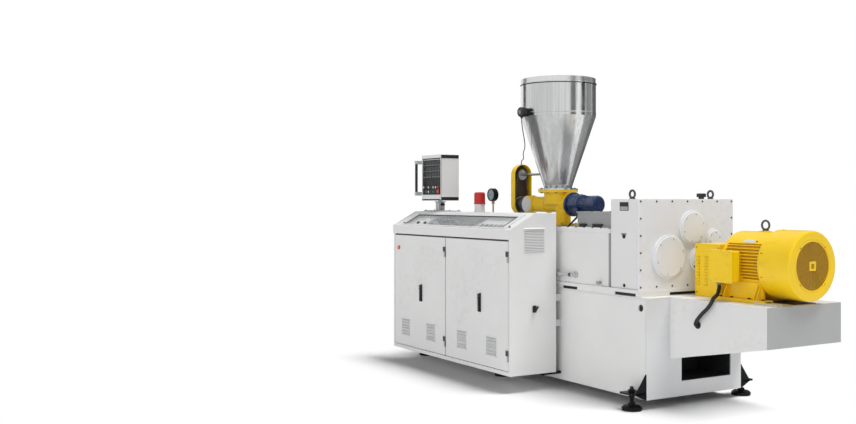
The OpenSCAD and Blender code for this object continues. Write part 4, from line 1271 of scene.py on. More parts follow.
@dataclass
class DriveMotor:
    """The yellow foot-mounted drive motor with its terminal box, fan cover and power cable."""

    y: float = MOTOR_Y
    z: float = MOTOR_Z
    start: float = 316.0
    x0: float = 336.0
    x1: float = 650.0
    end: float = 887.0
    r: float = 213.0
    deck: float = DECK
    cover_r: float = 224.0
    grille_r: float = 154.0
    box: tuple[float, ...] = (315.0, 504.0, -197.0, 885.0, 1100.0)
    grommet: Triple = (253.0, -237.0, 595.0)
    cable_r: float = 13.0

    def make(self) -> None:
        """Builds the motor from its feet up, then the cable."""
        self.frame()
        self.feet()
        self.shoulder()
        self.fan_cover()
        self.grille()
        self.terminal_box()
        self.cable()

    def ridge(self, angle: float, radius: float) -> Pair:
        """A point on a circle about the motor's axis, as (y, z)."""
        a = radians(angle)
        return self.y + radius * cos(a), self.z + radius * sin(a)

    def frame(self) -> None:
        """Core, drive-end shield with lugs and level fins on both sides."""
        r, x0, x1 = self.r, self.x0, self.x1
        core = r - 24
        frame = Piece("finned_motor_frame", YELLOW)
        frame.rod(X, x0 - 2, x1, self.y, self.z, core, 2, 72)
        shield = contour([(0, 0), (core - 60, 0), (core - 20, 5), (r - 4, 8), (r - 4, 34), (0, 34)], 4)
        frame.lathe(X, (self.start, self.y, self.z), shield, 72)
        for k in range(-6, 7):
            high = k * 20
            inner = sqrt((core - 6) ** 2 - (abs(high) + 3) ** 2)
            outer = sqrt(r ** 2 - (abs(high) + 3) ** 2)
            for side in (-1, 1):
                frame.bar(x0 + 14, x1 - 6, self.y + side * inner, self.y + side * outer,
                          self.z + high - 3, self.z + high + 3, 1.4)
        # Darker bars between the fins: painted shade in the fin gaps.
        frame.dress(PAINTED_SHADE_YELLOW)
        for k in range(-6, 6):
            high = k * 20 + 10
            outer = sqrt(core ** 2 - high ** 2) + 2
            for side in (-1, 1):
                frame.bar(x0 + 15, x1 - 7, self.y + side * (outer - 14), self.y + side * outer,
                          self.z + high - 6.4, self.z + high + 6.4, 0.8)
        frame.dress(YELLOW)
        for angle in (45, 135, 225, 315):
            y, z = self.ridge(angle, core - 14)
            frame.rod(X, self.start + 2, x0 + 30, y, z, 17, 3, 20)
            frame.dress(DARK_BOLT).hex_bolt(X, (self.start + 2, y, z), 9, -1)
            frame.dress(YELLOW)
        frame.build("motor_frame")

    def feet(self) -> None:
        """Two foot rails, each with its web up to the frame, gussets and holding-down bolts."""
        deck, y, x1, x0, z = self.deck, self.y, self.x1, self.x0, self.z
        feet = Piece("motor_foot_rails")
        rail = deck + 22
        for side in (-1, 1):
            feet.dress(YELLOW)
            middle = y + side * 178
            feet.bar(self.start - 31, x1 + 44, middle - 40, middle + 40, deck, rail, 3)
            feet.bar(x0, x1 - 20, y + side * 136, y + side * 164, rail - 2, z - 95, 3)
            foot, root = y + side * 214, y + side * 150
            for x in (x0 + 6, x1 - 54, x1 - 34):
                rib = rounded([(root, rail - 2), (foot, rail - 2), (foot, rail + 6), (root + side * 12, z - 108),
                               (root, z - 108)], 3)
                feet.prism(X, x, x + 9, rib, bevel=2.5)
            feet.dress(DARK_BOLT)
            for x in (x0 - 26, x0 + 66, x1 - 100, x1 + 12):
                feet.hex_bolt(Z, (x, middle + side * 18, rail), 10)
            # A black card in the rail's end: painted shade in the recess.
            feet.dress(SHADE_BLACK)
            gap = rect(middle - 26, middle + 26, deck + 3, rail - 7, 3)
            feet.prism(X, x1 + 43.8, x1 + 44.4, gap, bevel=0.2)
        feet.build(slot="motor_frame")
        pad = Piece("levelling_shim", WHITE)
        pad.bar(x1 - 40, x1 + 140, y - 225, y - 163, deck, deck + 9, 1.5)
        # A black rubber mat on the deck under the fan cover: painted shade where the cover shades the deck.
        pad.dress(RUBBER).bar(x1 - 80, x1 + 150, y - 66, y + 140, deck, deck + 3, 1)
        pad.build(slot="motor_beam")

    def shoulder(self) -> None:
        """The smooth shoulder over the top, the blank plate on it and the lifting eye."""
        y, x0 = self.y, self.x0
        r = self.r - 4
        sheet = rounded(arc(y, self.z, r, 39, 141, 24), 1.0, 1)
        shoulder = Piece("smooth_motor_shoulder", YELLOW)
        shoulder.prism(X, x0 + 4, self.x1 - 6, sheet, bevel=3)
        shoulder.bar(x0 + 150, x0 + 210, y - 30, y + 30, self.z + r - 24, self.z + self.r, 3)
        shoulder.build(slot="motor_frame")
        plate = Piece("blank_motor_plate", PALE_PLASTIC)
        bent = arc(y, self.z, r + 0.4, 131, 139, 5) + arc(y, self.z, r + 2.2, 139, 131, 5)
        plate.prism(X, x0 + 132, x0 + 222, rounded(bent, 0.4, 1), bevel=0.5)
        plate.dress(DARK_BOLT).screw(Z, (x0 + 238, *self.ridge(135, r - 1)), 6)
        plate.build(slot="motor_frame")
        eye = Piece("motor_lifting_eye", FORGED)
        x, z = x0 + 180, self.z + self.r
        eye.ring(Y, (x, y, z + 37), 30, 7, 44, 12)
        collar = contour([(0, 0), (21, 0), (21, 6), (12, 9), (11, 16), (0, 16)], 1.5)
        eye.lathe(Z, (x, y, z), collar, 28)
        eye.build(slot="motor_frame")

    def fan_cover(self) -> None:
        """The pressed cowl with its rounded rear edge, seam and screws."""
        r, e, x = self.cover_r, 16.0, self.x1 - 12
        long = self.end - x
        lip = self.grille_r + 14
        profile = [(r - 5, 0), (r, 2, 1), *arc(r - e, long - e, e, 0, 90, 9), (lip + 3, long - 0.6), (lip, long - 4),
                   (lip - 4, long - 4), (lip - 7, long - 0.6), (self.grille_r + 3, long - 0.6, 0.5),
                   (self.grille_r, long - 2, 1), (self.grille_r, long - 9), (0, long - 9), (0, 14), (r - 5, 14)]
        cover = Piece("pressed_fan_cover", YELLOW)
        cover.lathe(X, (x, self.y, self.z), profile, 96)
        # The seam ring is darker yellow: painted shade along the seam.
        cover.dress(PAINTED_SHADE_YELLOW).ring(X, (x + 9, self.y, self.z), r - 1.2, 1.4, 96, 6)
        cover.dress(DARK_BOLT)
        for angle in (20, 90, 160, 200, 270, 340):
            y, z = self.ridge(angle, r - 2)
            cover.rod(X, x + 20, x + 30, y, z, 4, 1, 10)
        cover.build("motor_fan_cover")

    def grille(self) -> None:
        """The fine wire mesh over the inlet with its square hub plate, and its screws; the dark disc behind it and the
        hub's recess are painted shade.
        """
        x = self.end
        back = Piece("inlet_shade_disc", DEEP_SHADE_YELLOW)
        back.rod(X, x - 9.5, x - 8, self.y, self.z, self.grille_r - 0.4, 0.4, 64)
        back.build(slot="motor_fan_cover")
        # The mesh wires are darker yellow: painted shade in the mesh.
        wires = Piece("wire_mesh_grille", PAINTED_SHADE_YELLOW)
        for k in range(17):
            wires.ring(X, (x - 5.5, self.y, self.z), 30 + k * 7.4, 1.3, 72, 6)
        for k in range(24):
            ends = [(x - 4, *self.ridge(15 * k + 7.5, q)) for q in (24.0, self.grille_r - 1)]
            wires.tube(ends, 1.2, 6)
        wires.dress(YELLOW)
        y, z = self.y, self.z
        wires.prism(X, x - 6, x - 1.5, rect(y - 30, y + 30, z - 30, z + 30, 9, 3),
                    [rect(y - 15, y + 15, z - 15, z + 15, 4)], 1)
        wires.dress(DEEP_SHADE_YELLOW).prism(X, x - 7, x - 4, rect(y - 14, y + 14, z - 14, z + 14, 3), bevel=0.8)
        wires.dress(DARK_BOLT)
        for k in range(4):
            wires.screw(X, (x - 2.5, *self.ridge(90 * k + 45, self.grille_r + 9)), 3.5)
        wires.build(slot="motor_fan_cover")

    def terminal_box(self) -> None:
        """The terminal box with its lid, neck and screws, and the glands and grommet of all three cables."""
        x0, x1, y0, z0, z1 = self.box
        box = Piece("motor_terminal_box_with_lid", YELLOW)
        box.prism(Y, y0, y0 + 20, rect(x0, x1, z0, z1, 12, 4), bevel=5, steps=3)
        box.prism(Y, y0 + 20, y0 + 84, rect(x0 + 6, x1 - 6, z0 + 6, z1 - 6, 8, 3), bevel=2)
        box.prism(Y, y0 + 84, self.y - 165, rect(x0 + 24, x1 - 24, z0 + 24, z1 - 24, 6), bevel=3)
        box.dress(RUBBER).prism(Y, y0 + 19, y0 + 22, rect(x0 + 4, x1 - 4, z0 + 4, z1 - 4, 8), bevel=0.5)
        box.dress(ZINC)
        for x in (x0 + 13, x1 - 13):
            for z in (z0 + 13, z1 - 13):
                box.screw(Y, (x, y0 + 3.5, z), 5.5, -1)
        box.build("motor_terminal_box")
        glands = Piece("cable_glands_and_grommet")
        gx, gy, gz = x0 + 45, y0 + 47, z0 - 17
        glands.dress(GREY_PLASTIC)
        glands.lathe(Z, (gx, gy, gz + 8), [(0, 0), (19, 0), (20, 2, 1), (20, 13, 1), (19, 15), (0, 15)], 6)
        dome = contour([(0, 0), (15, 0), (18, 3), (18, 8), (0, 8)], 1.5)
        glands.lathe(Z, (gx, gy, gz), dome, 28)
        x, y, z = self.grommet
        glands.dress(RUBBER)
        rim = contour([(self.cable_r + 0.5, 1), (self.cable_r + 0.5, -6), (22, -6), (27, -3), (27, 0)], 2)
        glands.lathe(Y, (x, y, z), rim, 40)
        glands.dress(GREY_PLASTIC).lathe(Y, CABINET_GLAND, [(0, 0), (12, 0), (12, 8, 1), (8, 11, 1), (0, 11)], 6)
        glands.lathe(Z, BELT_GLAND, [(0, 0), (8, 0), (8, 4, 1), (6, 6, 1), (0, 6)], 6)
        glands.build("cable_glands")

    def cable(self) -> None:
        """The power cable from the terminal box round into the beam."""
        gx, gy, gz = self.box[0] + 45, self.box[2] + 47, self.box[3] - 17
        x, y, z = self.grommet
        route = [(gx + a, gy + b, gz + c) for a, b, c in
                 ((0, 0, 0), (0, 0, -6), (0, 0, -12), (5, -9, -32), (20, -40, -62))]
        route += [(x + a, y + b, z + c) for a, b, c in
                  ((142, -4, 188), (144, -26, 160), (122, -36, 124), (78, -42, 82), (32, -38, 38), (8, -28, 10),
                   (0, -14, 0), (0, -4, 0), (0, 6, 0))]
        cable = Piece("motor_power_cable", RUBBER)
        cable.tube(smooth_path(route, 7), self.cable_r - 0.3, 20)
        cable.build("motor_cable")


@dataclass
class Barrel:
    """The twin-screw barrel with heaters, feed throat, vent, support and outlet flange."""

    z: float = 1040.0
    r: float = 125.0
    root: float = -1000.0
    end: float = -3308.0
    feed: float = FEED_X
    throat: float = THROAT
    vent: float = -2292.0
    support: float = -2692.0
    saddle: float = 906.0
    heaters: tuple[float, ...] = (-1902.0, -2192.0, -2672.0, -2962.0, -3252.0)
    heater_len: float = 250.0
    heater_r: float = 183.0
    deck: float = DECK

    def make(self) -> None:
        """Builds the barrel from its root flange to the outlet."""
        self.body()
        self.heater_bands()
        self.stand()
        self.outlet()

    def body(self) -> None:
        """Barrel tube, root flange with bolts, feed block and vent chimney."""
        end, r, root, z, feed = self.end, self.r, self.root, self.z, self.feed
        steel = Piece("barrel_with_feed_block", STEEL)
        tube = contour([(60, end + 120), (60, end), (r, end), (r, root - 40),
                        (r + 65, root - 40), (r + 65, root), (0, root), (0, end + 120)], 2)
        steel.lathe(X, (0, 0, z), [(0, end + 120), *tube[:-1]], 72)
        hole = disc(feed, 0, 56, 40)
        foot = rect(feed - 130, feed + 130, -130, 130, 6)
        steel.prism(Z, z - 60, z + 20, foot, bevel=3)
        steel.prism(Z, z + 20, self.throat - 20, foot, [hole], 2)
        steel.prism(Z, self.throat - 20, self.throat, rect(feed - 105, feed + 105, -105, 105, 5), [hole], 2)
        chimney = rounded([(42, 60), (42, r + 90), (80, r + 90), (80, r + 75), (55, r + 75), (55, 60)], 2)
        steel.lathe(Z, (self.vent, 0, z), chimney, 48)
        steel.dress(DARK_BOLT)
        for u, v in spread(10, r + 42):
            steel.hex_bolt(X, (root - 40, u, z + v), 12, -1)
        for u, v in spread(4, 68, 45):
            steel.hex_bolt(Z, (self.vent + u, v, z + r + 75), 6, -1)
        steel.build("barrel")

    def heater_bands(self) -> None:
        """Ribbed cast heaters in two halves with clamp screws and terminal boxes."""
        z = self.z
        bands = Piece("ribbed_heater_bands")
        r, long = self.heater_r, self.heater_len
        for x in self.heaters:
            bands.dress(CAST_ALU)
            profile: list[Sequence[float]] = [(self.r, 0)]
            for k in range(12):
                at = 4 + k * (long - 8) / 12
                profile += [(r - 14, at), (r, at + 3, 1), (r, at + 12, 1), (r - 14, at + 15)]
            profile += [(r - 14, long), (self.r, long)]
            bands.lathe(X, (x, 0, z), profile, 60)
            bands.dress(ZINC)
            for px in (x + 20, x + long - 32):
                for side in (-1, 1):
                    bands.bar(px, px + 12, side * (r - 8) - 8, side * (r - 8) + 8, z - 14, z + 14, 2)
            bands.dress(GALVANISED)
            box = rect(x + 70, x + long - 70, z - 50, z + 50, 4)
            bands.prism(Y, r - 30, r + 50, box, bevel=2)
            bands.prism(Y, r + 50, r + 55, rect(x + 70, x + long - 70, z - 50, z + 50, 6), bevel=1.5)
        bands.build("heater_bands")

    def stand(self) -> None:
        """The flat support under the barrel with its ring and anchor bolts."""
        deck, r = self.deck, self.r
        stand = Piece("barrel_ring_support", SHADED_OFF_WHITE)
        x = self.support
        stand.bar(x - 60, x + 60, -200, 200, deck, deck + 16, 2)
        web = rounded([(-150, deck + 14), (150, deck + 14), (110, self.saddle - 6), (0, self.saddle),
                       (-110, self.saddle - 6)], 8)
        stand.prism(X, x - 14, x + 14, web, bevel=2)
        ring = rounded([(r, -14), (r + 26, -14), (r + 26, 14), (r, 14)], 2)
        stand.lathe(X, (x, 0, self.z), ring, 60)
        stand.dress(DARK_BOLT)
        for y in (-178, 178):
            for dx in (-38, 38):
                stand.hex_bolt(Z, (x + dx, y, deck + 16), 10)
        stand.build("barrel_support")

    def outlet(self) -> None:
        """The outlet flange with its bore and eight bolt holes."""
        flange = Piece("bored_outlet_flange", STEEL)
        holes = [disc(0, self.z, 60, 48)] + [disc(u, self.z + v, 11, 20) for u, v in spread(8, 135, 22.5)]
        flange.prism(X, self.end - 45, self.end, disc(0, self.z, 165, 96), holes, 2.5)
        flange.build("outlet_flange")


@dataclass
class Feeder:
    """The yellow screw feeder with its navy gearmotor, and the guarded belt up to the agitator."""

    z: float = 1392.0
    agitator: float = AGITATOR_Z
    hopper_x: float = HOPPER_X
    feed: float = FEED_X
    guard_x: float = BELT_GLAND[0]
    motor_x: float = -1360.0
    throat: float = THROAT
    guard_r: float = 91.0

    def make(self) -> None:
        """Builds the housing, drive, guard, belt and shaft."""
        self.housing()
        self.gearmotor()
        self.guard()
        self.belt()
        self.agitator_shaft()
        self.cable()

    def housing(self) -> None:
        """Screw tube with its bearing drum, neck under the hopper and spout, with their bolted flanges."""
        z, throat, feed = self.z, self.throat, self.feed
        bearing, tube_x0, x1 = self.guard_x + 56, self.guard_x + 165, self.motor_x
        # The bearing housing by the guard is dressed dark forged steel: painted shade inside the guard.
        body = Piece("feeder_tube_and_neck", FORGED)
        housing = rounded([(24, bearing - 22), (52, bearing - 22), (52, bearing), (72, bearing), (72, bearing + 16),
                           (68, bearing + 20), (68, tube_x0 - 18), (72, tube_x0 - 14), (72, tube_x0), (24, tube_x0)], 2)
        body.lathe(X, (0, 0, z), housing, 56)
        body.dress(YELLOW)
        tube = rounded([(24, tube_x0), (66, tube_x0), (66, x1 - 14), (99, x1 - 14), (99, x1), (24, x1)], 2)
        body.lathe(X, (0, 0, z), tube, 56)
        drum = contour([(0, -40), (74, -40), (74, -74), (70, -78), (0, -78)], 3)
        body.lathe(Y, (tube_x0 + 20, 0, z), drum, 56)
        body.dress(PALE_PLASTIC).rod(Y, -84, -77, tube_x0 + 20, z, 65, 3, 56)
        body.dress(YELLOW)
        for x, r in ((tube_x0 + 1, 78), (self.hopper_x - 128, 74)):
            body.rod(X, x, x + 14, 0, z, r, 2, 48)
        neck = rounded([(106, 0), (106, 120), (165, 120), (165, 99), (116, 99), (116, 0)], 2)
        body.lathe(Z, (self.hopper_x, 0, z), neck, 64)
        spout = rounded([(56, throat), (56, z), (62, z), (62, throat + 12), (56, throat)], 0.5)
        body.lathe(Z, (feed, 0, 0), [p[:2] for p in spout[:-1]], 48)
        foot = rect(feed - 90, feed + 90, -90, 90, 6)
        body.prism(Z, throat, throat + 14, foot, [disc(feed, 0, 56, 40)], 2)
        body.dress(DARK_BOLT)
        for u, v in spread(12, 142, 15):
            body.hex_bolt(Z, (self.hopper_x + u, v, z + 99), 8, -1)
        for dx in (-74, 74):
            for y in (-74, 74):
                body.hex_bolt(Z, (feed + dx, y, throat + 14), 8)
        for u, v in spread(8, 82, 22.5):
            body.hex_bolt(X, (x1 - 14, u, z + v), 8, -1)
        body.build("feeder_housing")

    def gearmotor(self) -> None:
        """Gear stage, ribbed motor and fan cowl in one line, with the terminal box."""
        z = self.z
        x = self.motor_x
        drive = Piece("navy_feeder_gearmotor", NAVY)
        stages = contour([(0, 0), (99, 0), (99, 22), (84, 24), (84, 44), (76, 52), (76, 98), (84, 106), (84, 110),
                          (80, 112), (80, 140), (66, 144), (66, 250), (0, 250)], 3)
        drive.lathe(X, (x, 0, z), stages, 56)
        for k, (u, v) in enumerate(spread(24, 67)):
            if not 200 < 15 * k < 250:
                drive.tube([(x + 146, u, z + v), (x + 244, u, z + v)], 3.0, 6)
        cowl = contour([(0, 242), (71, 242), (71, 318), (60, 330), (30, 330), (30, 326), (0, 326)], 4)
        drive.lathe(X, (x, 0, z), cowl, 48)
        drive.bar(x + 98, x + 158, -80, -20, z - 74, z - 30, 5)
        drive.dress(BLACK_PLASTIC)
        for k in range(3):
            drive.ring(X, (x + 328.5, 0, z), 36 + k * 8, 1.3, 40, 6)
        drive.dress(DARK_BOLT)
        for u, v in spread(8, 92, 22.5):
            drive.hex_bolt(X, (x + 22, u, z + v), 6)
        drive.build("feeder_gearmotor")

    def guard_shape(self, inset: float) -> Outline:
        """The guard's outline, straight-sided with a round top and bottom."""
        r = self.guard_r - inset
        return rounded(arc(0, self.z, r, 180, 360, 20) + arc(0, self.agitator, r, 0, 180, 20), 0)

    def guard(self) -> None:
        """The belt guard, open toward the hopper."""
        x0, deep = self.guard_x - 30, 60.0
        guard = Piece("open_belt_guard", YELLOW)
        guard.prism(X, x0, x0 + 4, self.guard_shape(0), bevel=1.5)
        guard.prism(X, x0 + 3, x0 + deep, self.guard_shape(0), [self.guard_shape(4)], 1.2)
        # The inner face of the guard's back is dark brown: painted shade inside the guard.
        guard.dress(GUARD_SHADE_BROWN).prism(X, x0 + 3.5, x0 + 5, self.guard_shape(4.5), bevel=0.3)
        guard.dress(DARK_BOLT)
        for y, z in ((-60, self.z - 40), (60, self.z - 40), (-60, self.agitator + 40), (60, self.agitator + 40)):
            guard.screw(X, (x0 + 5, y, z), 6)
        guard.build("belt_guard")

    def belt(self) -> None:
        """Both pulleys with hubs and the flat belt between them."""
        x0 = self.guard_x - 26
        wheels = Piece("pulleys_with_belt", ZINC)
        lower = contour([(0, 0), (40, 0), (40, 16), (70, 16), (70, 20), (66, 24), (66, 38), (70, 42), (70, 46),
                         (56, 46), (52, 40), (40, 40), (40, 60), (0, 60)], 1.2)
        wheels.lathe(X, (x0, 0, self.z), lower, 56)
        wheels.rod(X, x0 + 58, self.hopper_x - 60, 0, self.z, 24, 1.5, 32)
        upper = rounded([(11.2, 0), (30, 0), (30, 16), (45, 16), (45, 20), (41, 24), (41, 38), (45, 42), (45, 46),
                         (36, 46), (33, 41), (20, 41), (20, 45), (11.2, 45)], 1.2)
        wheels.lathe(X, (x0, 0, self.agitator), upper, 48)
        wheels.dress(BELT)
        rise = self.agitator - self.z
        tilt = degrees(asin((74 - 49) / rise))
        loop = rounded(arc(0, self.z, 74, 180 - tilt, 360 + tilt, 28)
                       + arc(0, self.agitator, 49, tilt, 180 - tilt, 24), 0)
        wheels.prism(X, x0 + 24, x0 + 38, loop, [offset(loop, 5)[::-1]], 1.0)
        wheels.build("pulleys_and_belt")

    def agitator_shaft(self) -> None:
        """The thin shaft into the cone with its two paddles."""
        shaft = Piece("agitator_shaft_with_paddles", STEEL)
        shaft.rod(X, self.guard_x - 26, self.hopper_x + 60, 0, self.agitator, 11, 1, 24)
        for k in (-1, 1):
            x = self.hopper_x + k * 40
            shaft.rod(Z, self.agitator - 60, self.agitator + 60, x, 0, 5, 1, 14)
        shaft.build("agitator_shaft")

    def cable(self) -> None:
        """The thin cable from the gearmotor down to the cabinet's back."""
        route = [(self.motor_x + 128 + a, -50 + b, self.z - 74 + c) for a, b, c in
                 ((0, 0, 0), (0, 0, -6), (0, 0, -12), (-6, -14, -38), (-36, -70, -104), (-78, -150, -208))]
        x, y, z = CABINET_GLAND
        route += [(x + a, y + b, z + c) for a, b, c in ((16, 186, 52), (2, 76, 6), (0, 23, 0), (0, 17, 0), (0, 11, 0))]
        cable = Piece("gearmotor_cable_run", RUBBER)
        cable.tube(smooth_path(route, 7), 7.7, 16)
        cable.build("gearmotor_cable")


@dataclass
class Hopper:
    """The polished steel hopper in two pieces with its lid and level sensor."""

    x: float = HOPPER_X
    base: float = 1512.0
    cone_top: float = 2121.0
    top: float = 2395.0
    r: float = 313.0
    neck_r: float = 112.0
    flange_r: float = 165.0
    wall: float = 4.0
    lid_h: float = 46.0
    agitator: float = AGITATOR_Z

    def make(self) -> None:
        """Builds cone, cylinder, lid and sensor."""
        self.cone()
        self.cylinder()
        self.lid()
        self.sensor()

    def cone(self) -> None:
        """The cone on its bolted flange, with the collar of the agitator's shaft."""
        cone = Piece("polished_hopper_cone", CONE_STEEL)
        n, w, z = self.neck_r, self.wall, self.base
        profile = rounded([(n - w, z), (self.flange_r, z), (self.flange_r, z + 12), (n, z + 12),
                           (self.r, self.cone_top), (self.r - w, self.cone_top), (n - w, z + 12)], 1.5)
        cone.lathe(Z, (self.x, 0, 0), profile, 128)
        cone.dress(STEEL)
        slope = (self.r - n) / (self.cone_top - z - 12)
        reach = n + (self.agitator - z - 12) * slope
        cone.lathe(X, (self.x, 0, self.agitator), rounded(
            [(11.4, -reach - 26), (26, -reach - 26), (26, -reach + 12), (11.4, -reach + 12)], 1.5), 32)
        cone.dress(DARK_BOLT)
        for u, v in spread(12, 142, 15):
            cone.hex_bolt(Z, (self.x + u, v, z + 12), 8)
        cone.build("hopper_cone")

    def cylinder(self) -> None:
        """The cylinder with its rolled bead and rim, and the weld seam behind."""
        top, x = self.top, self.x
        z, r = self.cone_top, self.r
        side = Piece("polished_hopper_cylinder", STAINLESS)
        bead = [(r + 2.5 * sin(a), z + 26 - 6 * cos(a)) for a in (radians(20 * k) for k in range(10))]
        rim = [(r, top - 8), (r + 5, top - 8, 1), (r + 6, top - 6.5), (r + 6, top - 1.5), (r + 5, top, 1)]
        profile = [(r - self.wall, z), (r, z), *bead, *rim, (r - self.wall, top)]
        side.lathe(Z, (x, 0, 0), profile, 128)
        side.tube([(x, r, z + 36), (x, r, top - 10)], 1.2, 6)
        side.build("hopper_cylinder")

    def lid(self) -> None:
        """The flat pressed lid with a rolled step."""
        r, h = self.r - 2, self.lid_h
        lid = Piece("pressed_hopper_lid", LID_STEEL)
        profile = [(0, h - 4), (r - 4, h - 10), (r - 4, 0), (r, 0), (r, h - 9), (r - 1.5, h - 6, 1), (r - 6, h - 4),
                   (r - 30, h - 3.2), (r - 33, h - 1.6), (r - 38, h - 1.2), (0, h)]
        lid.lathe(Z, (self.x, 0, self.top), profile, 128)
        seal = [(self.r - 4, -15), (self.r + 1.4, -15), (self.r + 1.4, -7), (self.r - 4, -7)]
        lid.dress(RUBBER).lathe(Z, (self.x, 0, self.top), seal, 128)
        lid.build("hopper_lid")

    def sensor(self) -> None:
        """The capacitive level sensor: tube in the wall, head with a screwed cap and thin cable."""
        r, x = self.r, self.x
        z, y0 = self.cone_top + 27, -r - 82
        sensor = Piece("level_sensor_head", BLACK_PLASTIC)
        sensor.rod(Y, -r - 30, -r + 14, x, z, 26, 1.5, 36)
        sensor.rod(Y, -r - 15, -r - 4, x, z, 34, 2.5, 40)
        head = contour([(0, -28), (33, -28), (40, -34), (40, -76), (34, -82), (0, -82)], 3)
        sensor.lathe(Y, (x, -r, z), head, 44)
        sensor.rod(Z, z - 51, z - 34, x, -r - 61, 11, 1.5, 20)
        sensor.dress(GREY_PLASTIC).rod(Y, y0 - 0.2, y0 + 2, x, z, 17, 0.8, 32)
        sensor.dress(ZINC)
        for u, v in spread(4, 27, 45):
            sensor.screw(Y, (x + u, y0 + 1.2, z + v), 3.2, -1)
        sensor.build("level_sensor")
        route = [(x + a, -r - 61 + b, self.cone_top - 24 + c) for a, b, c in
                 ((0, 0, 0), (0, 0, -6), (0, 0, -12), (-4, 4, -34), (-47, 44, -88), (-134, 130, -208))]
        x, y, z = BELT_GLAND
        route += [(x + a, y + b, z + c) for a, b, c in
                  ((181, -110, 90), (64, -24, 50), (6, -2, 32), (0, 0, 20), (0, 0, 13), (0, 0, 6))]
        cable = Piece("sensor_cable_run", RUBBER)
        cable.tube(smooth_path(route, 7), 3.8, 12)
        cable.build("sensor_cable")


